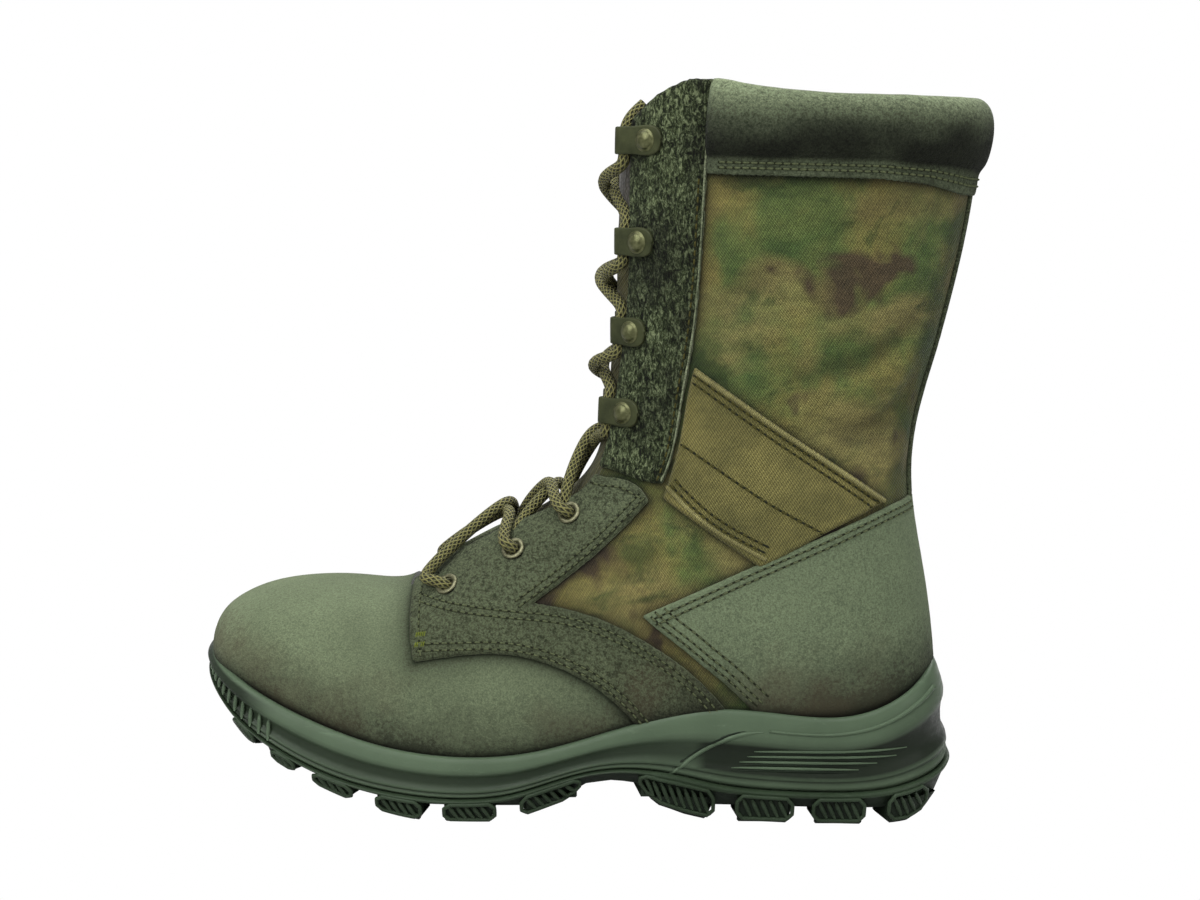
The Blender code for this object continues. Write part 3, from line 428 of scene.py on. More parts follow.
class Nodes:
    """Short ways to add nodes to one material."""

    def __init__(self, tree):
        self.tree = tree
        self.place = self.add("ShaderNodeTexCoord").outputs["Object"]

    def add(self, kind, **values):
        node = self.tree.nodes.new(kind)
        for key, value in values.items():
            setattr(node, key, value)
        return node

    def put(self, socket, value):
        if hasattr(value, "is_output"):
            self.tree.links.new(value, socket)
        else:
            socket.default_value = value

    def mapped(self, scale=(1, 1, 1), turn=(0, 0, 0), source=None):
        node = self.add("ShaderNodeMapping")
        self.put(node.inputs["Vector"], source or self.place)
        node.inputs["Scale"].default_value = scale
        node.inputs["Rotation"].default_value = turn
        return node.outputs["Vector"]

    def noise(self, scale, detail=3.0, rough=0.55, source=None, distortion=0.0):
        node = self.add("ShaderNodeTexNoise")
        self.put(node.inputs["Vector"], source or self.place)
        node.inputs["Scale"].default_value = scale
        node.inputs["Detail"].default_value = detail
        node.inputs["Roughness"].default_value = rough
        node.inputs["Distortion"].default_value = distortion
        return node.outputs["Fac"]

    def voronoi(self, scale, source=None, feature="F1"):
        node = self.add("ShaderNodeTexVoronoi", feature=feature)
        self.put(node.inputs["Vector"], source or self.place)
        node.inputs["Scale"].default_value = scale
        return node.outputs["Distance"]

    def wave(self, scale, source=None, distortion=0.0, direction="X"):
        node = self.add("ShaderNodeTexWave", bands_direction=direction)
        self.put(node.inputs["Vector"], source or self.place)
        node.inputs["Scale"].default_value = scale
        node.inputs["Distortion"].default_value = distortion
        return node.outputs["Fac"]

    def ramp(self, source, stops):
        node = self.add("ShaderNodeValToRGB")
        self.put(node.inputs["Fac"], source)
        ramp = node.color_ramp
        while len(ramp.elements) < len(stops):
            ramp.elements.new(0.5)
        for element, (at, colour) in zip(ramp.elements, stops):
            element.position = at
            if isinstance(colour, (int, float)):
                colour = (colour, colour, colour)
            element.color = (*colour, 1.0)
        return node.outputs["Color"]

    def math(self, what, a, b=0.0, clamp=False):
        node = self.add("ShaderNodeMath", operation=what, use_clamp=clamp)
        self.put(node.inputs[0], a)
        self.put(node.inputs[1], b)
        return node.outputs[0]

    def mix(self, share, a, b, blend="MIX"):
        node = self.add("ShaderNodeMix", data_type="RGBA", blend_type=blend)
        self.put(node.inputs["Factor"], share)
        self.put(node.inputs["A"], a if hasattr(a, "is_output") else (*a, 1.0))
        self.put(node.inputs["B"], b if hasattr(b, "is_output") else (*b, 1.0))
        return node.outputs["Result"]

    def bump(self, height, distance, strength=1.0, normal=None):
        node = self.add("ShaderNodeBump")
        self.put(node.inputs["Height"], height)
        node.inputs["Distance"].default_value = distance
        node.inputs["Strength"].default_value = strength
        if normal is not None:
            self.put(node.inputs["Normal"], normal)
        return node.outputs["Normal"]

    def with_shade_and_dirt(self, colour, dark=0.12):
        """The colour, darker where the mesh's attribute holds painted shade and some dirt."""
        node = self.add("ShaderNodeAttribute", attribute_type="GEOMETRY", attribute_name="shade_and_dirt")
        return self.mix(node.outputs["Fac"], colour, self.mix(1.0, colour, (dark, dark, dark), "MULTIPLY"))

    def axis(self, which, source=None):
        node = self.add("ShaderNodeSeparateXYZ")
        self.put(node.inputs[0], source or self.place)
        return node.outputs[which]


def nubuck(name, light, dark, speckle=0.5, low_dirt_and_shade=True, coarse=0.0, shade=0.12):
    """Nubuck: soft mottling, a short nap, and darker leather low by the sole, partly dirt and partly painted
    shade.
    """
    material, tree, shader = new_material(name)
    n = Nodes(tree)
    broad = n.noise(22.0, 4.0, 0.6)
    fine = n.noise(620.0 - 120.0 * coarse, 4.0, 0.72)
    grain = n.noise(1500.0 - 500.0 * coarse, 3.0, 0.75)
    colour = n.mix(n.ramp(broad, [(0.32, 0.0), (0.68, 1.0)]), dark, light)
    spots = n.ramp(fine, [(0.40 - 0.02 * coarse, 0.0), (0.52, 1.0)])
    dark_spot = tuple(v * 0.30 for v in dark)
    colour = n.mix(n.math("MULTIPLY", n.math("SUBTRACT", 1.0, spots), speckle), colour, dark_spot)
    lift = n.ramp(grain, [(0.36, 0.74 - 0.34 * coarse), (0.64, 1.24 + 0.75 * coarse)])
    colour = n.mix(1.0, colour, lift, "MULTIPLY")
    if low_dirt_and_shade:
        # Darker towards the floor: partly dirt and partly painted shade low by the sole, with brownish dirt
        # patches; worn here is the height over the floor line, with noise.
        height = n.axis("Z")
        along = n.axis("X")
        floor_line = n.math("MULTIPLY", n.math("ABSOLUTE", n.math("ADD", along, 0.14)), 0.21)
        over = n.math("SUBTRACT", n.math("SUBTRACT", height, floor_line), 0.020)
        patch = n.math("MULTIPLY", n.math("SUBTRACT", n.noise(60.0, 5.0, 0.7), 0.5), 0.9)
        patch = n.math("ADD", patch, n.math("SUBTRACT", fine, 0.5))
        worn = n.math("ADD", n.math("MULTIPLY", over, 32.0), patch)
        share = n.ramp(worn, [(0.0, 0.82), (0.30, 0.46), (0.85, 0.0)])
        colour = n.mix(share, colour, (0.016, 0.017, 0.011))
        cloud = n.noise(24.0, 3.0, 0.5, n.mapped((1, 1, 1), (0.5, 0.2, 0.9)))
        blush = n.ramp(cloud, [(0.47, 0.0), (0.66, 0.5)])
        low = n.math("MULTIPLY", blush, n.ramp(worn, [(0.5, 1.0), (1.0, 0.0)]))
        colour = n.mix(low, colour, (0.062, 0.050, 0.030))
    n.put(shader.inputs["Base Color"], n.with_shade_and_dirt(colour, shade))
    n.put(shader.inputs["Roughness"], n.ramp(broad, [(0.2, 0.86), (0.8, 0.97)]))
    shader.inputs["Specular IOR Level"].default_value = 0.08
    shader.inputs["Sheen Weight"].default_value = 0.02
    shader.inputs["Sheen Roughness"].default_value = 0.5
    rough = n.bump(fine, 0.0006 + 0.0012 * coarse, 0.7)
    n.put(shader.inputs["Normal"], n.bump(grain, 0.0005 + 0.0006 * coarse, 0.9, rough))
    return material


def rough_suede(name):
    """Split suede with long fibres: strong light and dark flecks."""
    material, tree, shader = new_material(name)
    n = Nodes(tree)
    warp = n.mapped((1, 1, 0.55), (0.0, 0.40, 0.0))
    fleck = n.noise(620.0, 3.0, 0.72, warp, 1.1)
    curl = n.noise(1050.0, 3.0, 0.75, n.mapped((1, 1, 0.5), (0.3, -0.45, 0.0)), 1.6)
    broad = n.noise(45.0, 3.0)
    both = n.math("ADD", n.math("MULTIPLY", fleck, 0.62), n.math("MULTIPLY", curl, 0.38))
    colour = n.ramp(both, [
        (0.41, (0.002, 0.003, 0.001)), (0.47, (0.010, 0.014, 0.005)),
        (0.53, (0.036, 0.047, 0.021)), (0.61, (0.125, 0.150, 0.078)),
    ])
    tone = n.ramp(broad, [(0.36, 0.45), (0.60, 1.30)])
    n.put(shader.inputs["Base Color"], n.with_shade_and_dirt(n.mix(1.0, colour, tone, "MULTIPLY")))
    n.put(shader.inputs["Roughness"], n.ramp(fleck, [(0.3, 0.96), (0.7, 0.82)]))
    shader.inputs["Specular IOR Level"].default_value = 0.1
    shader.inputs["Sheen Weight"].default_value = 0.02
    shader.inputs["Sheen Roughness"].default_value = 0.45
    n.put(shader.inputs["Normal"], n.bump(both, 0.0022, 1.0))
    return material


def weave_height(n, scale, turn=0.7):
    """A fine diagonal twill in the plane seen from the side, and the threads across it."""
    one = n.wave(scale, n.mapped((1, 0, 1), (0.0, turn, 0.0)), 0.35)
    two = n.wave(scale * 0.62, n.mapped((1, 0, 1), (0.0, turn - 1.2, 0.0)), 0.5)
    return n.math("ADD", n.math("MULTIPLY", one, 0.65), n.math("MULTIPLY", two, 0.35))


def camouflage(name):
    """Generic soft blotches of olive, green, khaki and brown on fine twill."""
    material, tree, shader = new_material(name)
    n = Nodes(tree)
    flat = n.mapped((1.0, 0.8, 0.85), (0.0, 0.5, 0.35))
    other = n.mapped((0.8, 1.1, 1.15), (0.4, -0.6, 0.9))
    third = n.mapped((1.1, 1.0, 0.85), (1.1, 0.3, 0.2))
    base = n.ramp(n.noise(36.0, 4.0, 0.5, flat, 0.3), [
        (0.36, (0.122, 0.106, 0.030)), (0.45, (0.094, 0.096, 0.026)), (0.53, (0.066, 0.088, 0.023)),
        (0.64, (0.038, 0.064, 0.016)),
    ])
    khaki = n.ramp(n.noise(27.0, 3.0, 0.5, other, 0.2), [(0.52, 0.0), (0.66, 0.85)])
    colour = n.mix(khaki, base, (0.145, 0.125, 0.043))
    brown = n.ramp(n.noise(33.0, 3.0, 0.5, third, 0.4), [(0.60, 0.0), (0.67, 0.9)])
    colour = n.mix(brown, colour, (0.036, 0.023, 0.013))
    deep = n.ramp(n.noise(42.0, 4.0, 0.6, other, 0.5), [(0.32, 0.75), (0.42, 0.0)])
    colour = n.mix(deep, colour, (0.020, 0.036, 0.008))
    weave = weave_height(n, 430.0)
    fuzz = n.noise(900.0, 3.0, 0.7)
    threads = n.ramp(weave, [(0.2, 0.66), (0.8, 1.28)])
    colour = n.mix(1.0, colour, threads, "MULTIPLY")
    slub = n.ramp(n.noise(120.0, 4.0, 0.7, n.mapped((1, 1, 2.6))), [(0.3, 0.76), (0.7, 1.22)])
    colour = n.mix(1.0, colour, slub, "MULTIPLY")
    dusty = n.ramp(fuzz, [(0.3, 0.80), (0.7, 1.18)])
    n.put(shader.inputs["Base Color"], n.with_shade_and_dirt(n.mix(1.0, colour, dusty, "MULTIPLY")))
    n.put(shader.inputs["Roughness"], n.ramp(fuzz, [(0.3, 0.74), (0.7, 0.90)]))
    shader.inputs["Specular IOR Level"].default_value = 0.22
    shader.inputs["Sheen Weight"].default_value = 0.04
    shader.inputs["Sheen Roughness"].default_value = 0.4
    low = n.bump(n.noise(85.0, 4.0, 0.6), 0.0025, 0.6)
    n.put(shader.inputs["Normal"], n.bump(weave, 0.0004, 0.9, low))
    return material


def twill(name, light, dark, scale=380.0, turn=0.62):
    """Khaki webbing: a clear twill with soft stains."""
    material, tree, shader = new_material(name)
    n = Nodes(tree)
    weave = weave_height(n, scale, turn)
    stain = n.noise(42.0, 4.0, 0.6)
    colour = n.mix(n.ramp(stain, [(0.34, 0.0), (0.62, 1.0)]), dark, light)
    threads = n.ramp(weave, [(0.2, 0.62), (0.8, 1.30)])
    colour = n.mix(1.0, colour, threads, "MULTIPLY")
    slub = n.ramp(n.noise(210.0, 3.0, 0.6, n.mapped((1, 1, 2.5))), [(0.3, 0.88), (0.7, 1.1)])
    n.put(shader.inputs["Base Color"], n.with_shade_and_dirt(n.mix(1.0, colour, slub, "MULTIPLY"), 0.25))
    n.put(shader.inputs["Roughness"], n.ramp(stain, [(0.2, 0.74), (0.8, 0.88)]))
    shader.inputs["Specular IOR Level"].default_value = 0.22
    shader.inputs["Sheen Weight"].default_value = 0.04
    low = n.bump(n.noise(110.0, 3.0, 0.6), 0.0018, 0.5)
    n.put(shader.inputs["Normal"], n.bump(weave, 0.0005, 0.9, low))
    return material


def moulded(name, light, dark, rough=0.42):
    """Semi-gloss moulded polyurethane with a fine skin, scuffs and a little dust."""
    material, tree, shader = new_material(name)
    n = Nodes(tree)
    broad = n.noise(24.0, 4.0, 0.6)
    fine = n.noise(900.0, 2.0, 0.6)
    scuff = n.noise(160.0, 5.0, 0.7, n.mapped((0.4, 1.0, 2.2)), 0.8)
    colour = n.mix(n.ramp(broad, [(0.3, 0.0), (0.7, 1.0)]), dark, light)
    dust = n.ramp(scuff, [(0.60, 0.0), (0.72, 0.35)])
    colour = n.mix(dust, colour, tuple(v * 1.7 + 0.01 for v in light))
    n.put(shader.inputs["Base Color"], n.with_shade_and_dirt(colour, 0.16))
    worn = n.ramp(scuff, [(0.35, rough - 0.06), (0.7, rough + 0.20)])
    n.put(shader.inputs["Roughness"], worn)
    shader.inputs["Specular IOR Level"].default_value = 0.09
    shader.inputs["Coat Weight"].default_value = 0.01
    shader.inputs["Coat Roughness"].default_value = 0.35
    low = n.bump(n.noise(70.0, 3.0), 0.0008, 0.25)
    n.put(shader.inputs["Normal"], n.bump(fine, 0.00012, 0.5, low))
    return material


def metal(name, base, worn, rough=0.34):
    """Dull metal with patina."""
    material, tree, shader = new_material(name)
    n = Nodes(tree)
    patina = n.noise(620.0, 4.0, 0.65)
    colour = n.mix(n.ramp(patina, [(0.38, 0.0), (0.66, 1.0)]), base, worn)
    n.put(shader.inputs["Base Color"], colour)
    shader.inputs["Metallic"].default_value = 0.75
    n.put(shader.inputs["Roughness"], n.ramp(patina, [(0.3, rough), (0.7, rough + 0.18)]))
    n.put(shader.inputs["Normal"], n.bump(patina, 0.00015, 0.5))
    return material


def cord_cloth(name):
    """Braided cord: the strands cross in two directions along the cord's own UV."""
    material, tree, shader = new_material(name)
    n = Nodes(tree)
    uv = n.add("ShaderNodeTexCoord").outputs["UV"]
    u, v = n.axis("X", uv), n.axis("Y", uv)
    right = n.math("ADD", n.math("MULTIPLY", u, 1.7), n.math("MULTIPLY", v, 4.0))
    left = n.math("SUBTRACT", n.math("MULTIPLY", u, 1.7), n.math("MULTIPLY", v, 4.0))
    bands = []
    for source in (right, left):
        phase = n.math("MULTIPLY", source, 6.28318)
        bands.append(n.math("SINE", phase))
    height = n.math("MAXIMUM", bands[0], bands[1])
    # Painted shade and highlight of the braid: dark between the strands, lighter on their crests.
    shade = n.ramp(n.math("ADD", n.math("MULTIPLY", height, 0.5), 0.5), [
        (0.34, (0.012, 0.012, 0.004)), (0.62, (0.064, 0.063, 0.020)), (0.95, (0.150, 0.143, 0.050)),
    ])
    over = n.math("GREATER_THAN", bands[0], bands[1])
    tracer = n.math("GREATER_THAN", n.math("SINE", n.math("MULTIPLY", right, 3.14159)), 0.55)
    mark = n.math("MULTIPLY", n.math("MULTIPLY", over, tracer), 0.55)
    colour = n.mix(mark, shade, (0.055, 0.062, 0.022))
    fuzz = n.noise(1400.0, 2.0, 0.6)
    tone = n.ramp(fuzz, [(0.3, 0.8), (0.7, 1.15)])
    n.put(shader.inputs["Base Color"], n.mix(1.0, colour, tone, "MULTIPLY"))
    n.put(shader.inputs["Roughness"], n.ramp(fuzz, [(0.3, 0.66), (0.7, 0.84)]))
    shader.inputs["Sheen Weight"].default_value = 0.03
    shader.inputs["Specular IOR Level"].default_value = 0.2
    n.put(shader.inputs["Normal"], n.bump(height, 0.0006, 0.9))
    return material


def knit(name, light, dark):
    """Knitted lining cloth."""
    material, tree, shader = new_material(name)
    n = Nodes(tree)
    cells = n.voronoi(700.0)
    broad = n.noise(55.0, 3.0)
    colour = n.mix(n.ramp(broad, [(0.3, 0.0), (0.7, 1.0)]), dark, light)
    holes = n.ramp(cells, [(0.2, 1.1), (0.6, 0.55)])
    n.put(shader.inputs["Base Color"], n.mix(1.0, colour, holes, "MULTIPLY"))
    n.put(shader.inputs["Roughness"], n.ramp(broad, [(0.2, 0.86), (0.8, 0.96)]))
    shader.inputs["Sheen Weight"].default_value = 0.15
    n.put(shader.inputs["Normal"], n.bump(cells, 0.0004, 0.7))
    return material


def tab_leather(name):
    """Smooth coated strip of the lace loops."""
    material, tree, shader = new_material(name)
    n = Nodes(tree)
    grain = n.noise(700.0, 4.0, 0.6)
    broad = n.noise(120.0, 3.0)
    colour = n.mix(n.ramp(broad, [(0.3, 0.0), (0.7, 1.0)]), (0.014, 0.017, 0.006), (0.034, 0.039, 0.015))
    n.put(shader.inputs["Base Color"], colour)
    n.put(shader.inputs["Roughness"], n.ramp(grain, [(0.3, 0.48), (0.7, 0.68)]))
    shader.inputs["Specular IOR Level"].default_value = 0.14
    n.put(shader.inputs["Normal"], n.bump(grain, 0.0003, 0.5))
    return material


def thread(name, colour):
    """Sewing thread."""
    material, tree, shader = new_material(name)
    n = Nodes(tree)
    fuzz = n.noise(1100.0, 2.0)
    dark = tuple(v * 0.6 for v in colour)
    n.put(shader.inputs["Base Color"], n.mix(n.ramp(fuzz, [(0.35, 0.0), (0.65, 1.0)]), dark, colour))
    n.put(shader.inputs["Roughness"], n.ramp(fuzz, [(0.3, 0.8), (0.7, 0.95)]))
    shader.inputs["Specular IOR Level"].default_value = 0.1
    n.put(shader.inputs["Normal"], n.bump(fuzz, 0.0002, 0.6))
    return material


VAMP = nubuck("vamp_nubuck", (0.106, 0.131, 0.076), (0.084, 0.104, 0.060), 0.14)
LEATHER = nubuck("overlay_nubuck", (0.060, 0.072, 0.040), (0.040, 0.048, 0.026), 0.70, True, 0.5)
COUNTER_LEATHER = nubuck("counter_nubuck", (0.110, 0.138, 0.080), (0.084, 0.107, 0.062), 0.24, True, 0.1)
CUFF_LEATHER = nubuck("cuff_suede", (0.172, 0.208, 0.122), (0.108, 0.132, 0.077), 0.5, False, 0.3, 0.05)
RAW_EDGE = nubuck("raw_edge", (0.150, 0.170, 0.105), (0.080, 0.095, 0.054), 0.3, False, 0.6)
SUEDE = rough_suede("split_suede")
CAMO = camouflage("camouflage_cloth")
WEB = twill("khaki_webbing", (0.128, 0.114, 0.034), (0.070, 0.066, 0.018))
# A lighter copy of the webbing twill: painted highlight on the folded edges.
WEB_FOLD_HIGHLIGHT = twill("webbing_fold", (0.200, 0.185, 0.070), (0.125, 0.115, 0.040), 520.0)
LINING = knit("brown_lining", (0.036, 0.031, 0.019), (0.022, 0.019, 0.012))
FOOTBED = knit("footbed_cloth", (0.030, 0.030, 0.026), (0.016, 0.016, 0.014))
TONGUE_CLOTH = twill("tongue_cloth", (0.064, 0.060, 0.020), (0.030, 0.030, 0.012), 420.0)
MIDSOLE = moulded("midsole_pu", (0.061, 0.088, 0.054), (0.045, 0.066, 0.040), 0.34)
OUTSOLE = moulded("outsole_rubber", (0.026, 0.040, 0.023), (0.014, 0.023, 0.012), 0.38)
# A darker copy of the outsole rubber: painted shade on the lugs, the web underneath and the sole's recesses.
LUG_SHADE = moulded("lug_shade_rubber", (0.009, 0.015, 0.008), (0.005, 0.008, 0.005), 0.50)
METAL = metal("dull_brass", (0.070, 0.072, 0.036), (0.170, 0.165, 0.100))
RIVET_METAL = metal("painted_brass", (0.050, 0.055, 0.020), (0.105, 0.108, 0.050), 0.34)
TAB = tab_leather("loop_tab")
CORD = cord_cloth("braided_cord")
THREAD = thread("olive_thread", (0.072, 0.085, 0.042))
DARK_THREAD = thread("dark_thread", (0.050, 0.046, 0.012))
TACK_THREAD = thread("tack_thread", (0.110, 0.135, 0.018))
# Painted shadow: a dark material for the lines sunk under the seams, where the stitch grooves lie in shade.
SEAM_SHADOW_LINES = thread("seam_shadow", (0.012, 0.014, 0.007))
INSIDE_DARK = knit("lining_edge", (0.020, 0.023, 0.013), (0.011, 0.013, 0.007))


# The upper
def inside_of(outline, x, z):
    """Signed distance to a closed outline in millimetres, plus inside."""
    line = np.asarray(outline, float)
    nxt = np.roll(line, -1, 0)
    x, z = np.asarray(x, float), np.asarray(z, float)
    best = np.full(x.shape, 1e9)
    odd = np.zeros(x.shape, bool)
    for (ax, az), (bx, bz) in zip(line, nxt):
        dx, dz = bx - ax, bz - az
        share = np.clip(((x - ax) * dx + (z - az) * dz) / max(dx * dx + dz * dz, 1e-9), 0, 1)
        best = np.minimum(best, (x - ax - share * dx) ** 2 + (z - az - share * dz) ** 2)
        if abs(dz) > 1e-12:
            crossing = (az > z) != (bz > z)
            odd ^= crossing & (x < ax + (z - az) / dz * dx)
    return np.where(odd, 1.0, -1.0) * np.sqrt(best)


def soften(outline, sharp):
    """A smooth outline with some corners kept sharp, given by their numbers."""
    rows = np.asarray(outline, float)
    weight = []
    for i, row in enumerate(rows):
        weight += [row] * (3 if i in sharp else 1)
    weight = np.array(weight)
    around = np.vstack([weight[-2:], weight, weight[:3]])
    return spline(around, np.linspace(2, len(weight) + 2, 6 * len(weight), endpoint=False))


FACING_LINE = soften(FACING, (0, 3, 11, 12, 21, 25, 30, 31))
STRIP_LINE = soften(STRIP, (0, 4, 11, 12, 16))
WEBBING_LINE = soften(WEBBING, (0, 3, 7, 11))
COUNTER_LINE = soften(COUNTER, (0, 7, 8, 9))


VAMP_EDGE = [
    (-300.0, 120.0), (-181.0, 120.0), (-173.0, 92.0), (-160.0, 76.0), (-150.0, 74.0),
    (-126.0, 74.0), (-108.0, 69.0), (-92.0, 60.0), (-78.0, 47.0), (-66.0, 33.0), (-55.0, 0.0),
    (-300.0, 0.0),
]


BETWEEN = [  # the cloth seen between strap and counter, which gets painted shade
    (-84.0, 80.0), (-68.0, 68.0), (-53.0, 56.0), (-38.0, 42.0), (-40.0, 20.0), (-76.0, 20.0),
    (-46.0, 38.0), (-59.5, 54.0), (-76.0, 66.5), (-92.0, 76.0),
]


def make_upper():
    """The hollow wall: outer skin, lining and cut edges."""
    u = np.arange(0.0, 20.0001, 0.1)
    c = GRID_C
    points = sample(FORM, u[:, None] + 0 * c[None, :], c[None, :] + 0 * u[:, None])
    normal = sample(FORM_N, u[:, None] + 0 * c[None, :], c[None, :] + 0 * u[:, None])
    points[-1, :, 2] = np.minimum(table(TOPLINE, points[-1, :, 0]), 274.0)
    rows, cols = points.shape[:2]
    inner = points - normal * 2.2
    inner[0, :, 0] += 2.0
    faces, tags = [], []
    number = (u[:-1] + u[1:]) / 2
    kept = np.ones((rows - 1, cols), bool)
    mid_c = c + FINE / 2
    throat = (mid_c < 1.0) | (mid_c > 23.0)
    kept[np.ix_(number > VAMP_POINT, throat)] = False
    under = (mid_c > 9.0) & (mid_c < 15.0)
    kept[np.ix_((number > 2.1) & (number < 10.5), under)] = False
    size = rows * cols
    cell_x = (points[:-1, :, 0] + points[1:, :, 0]) / 2
    cell_z = (points[:-1, :, 2] + points[1:, :, 2]) / 2
    vamp = inside_of(VAMP_EDGE, cell_x, cell_z) > 0
    for i in range(rows - 1):
        for k in range(cols):
            if not kept[i, k]:
                continue
            n = (k + 1) % cols
            a, b, d, e = i * cols + k, (i + 1) * cols + k, (i + 1) * cols + n, i * cols + n
            faces.append((a, e, d, b))
            tags.append(0 if vamp[i, k] else 1)
            faces.append((a + size, b + size, d + size, e + size))
            tags.append(2)
            if i + 1 == rows - 1 or not kept[i + 1, k]:
                faces.append((b, d, d + size, b + size))
                tags.append(3)
            if i == 0 or not kept[i - 1, k]:
                if i > 0:
                    faces.append((e, a, a + size, e + size))
                    tags.append(3)
            if not kept[i, n]:
                faces.append((d, e, e + size, d + size))
                tags.append(3)
            if not kept[i, (k - 1) % cols]:
                faces.append((a, b, b + size, a + size))
                tags.append(3)
    faces.append(tuple(range(cols)))
    tags.append(0)
    faces.append(tuple(range(size + cols - 1, size - 1, -1)))
    tags.append(2)
    both = np.vstack([points.reshape(-1, 3), inner.reshape(-1, 3)])
    obj = add_mesh("boot_upper", both, faces, [VAMP, CAMO, LINING, INSIDE_DARK], tags=tags)
    x, z = points[..., 0], points[..., 2]
    # Painted shade: contact shadows round the overlays and in front of the facing, shade under the cuff,
    # between strap and counter and in the creases' troughs; also darker just above the sole's rim and at the
    # back of the shaft.
    shade = np.zeros(x.shape)
    for line, reach, strong in ((FACING_LINE, 3.6, 1.0), (STRIP_LINE, 3.0, 0.9), (WEBBING_LINE, 2.4, 0.85),
                                (COUNTER_LINE, 3.0, 0.85)):
        gap = -inside_of(line, x, z)
        shade = np.maximum(shade, strong * np.exp(-np.clip(gap, 0, None) / reach))
    front = np.exp(-np.clip(-inside_of(FACING_LINE, x, z), 0, None) / 5.5) * (x < -150)
    shade = np.maximum(shade, 0.75 * front * (z < 100))
    below = np.clip(247.0 - table(CUFF_DROP, x) * 0.9 - z, 0, None)
    under_cuff = np.exp(-below / 3.6) * (z > 200) * (x > -64)
    shade = np.maximum(shade, 0.95 * under_cuff)
    over_sole = np.exp(-np.clip(z - soft_table(RIM, x), 0, None) / 2.2)
    shade = np.maximum(shade, 0.8 * over_sole)
    between = inside_of(BETWEEN, x, z)
    shade = np.maximum(shade, 0.62 * np.clip(between / 3.0, 0, 1))
    cloth_dip = np.clip(-crease_height(BASE[:len(u)]) / 1.2, 0, 1) * 0.45
    cloth_dip[:2] = 0
    shade = np.maximum(shade, cloth_dip)
    back = np.clip((x - (table([(120, 6), (150, 6), (180, 13), (210, 21), (247, 27)], z))) / 5.0, 0, 1)
    shade = np.maximum(shade, 0.55 * back * (z > 120))
    set_shade_and_dirt(obj, np.concatenate([shade.ravel(), np.zeros(shade.size)]))
    stand_for(obj, ["upper"])


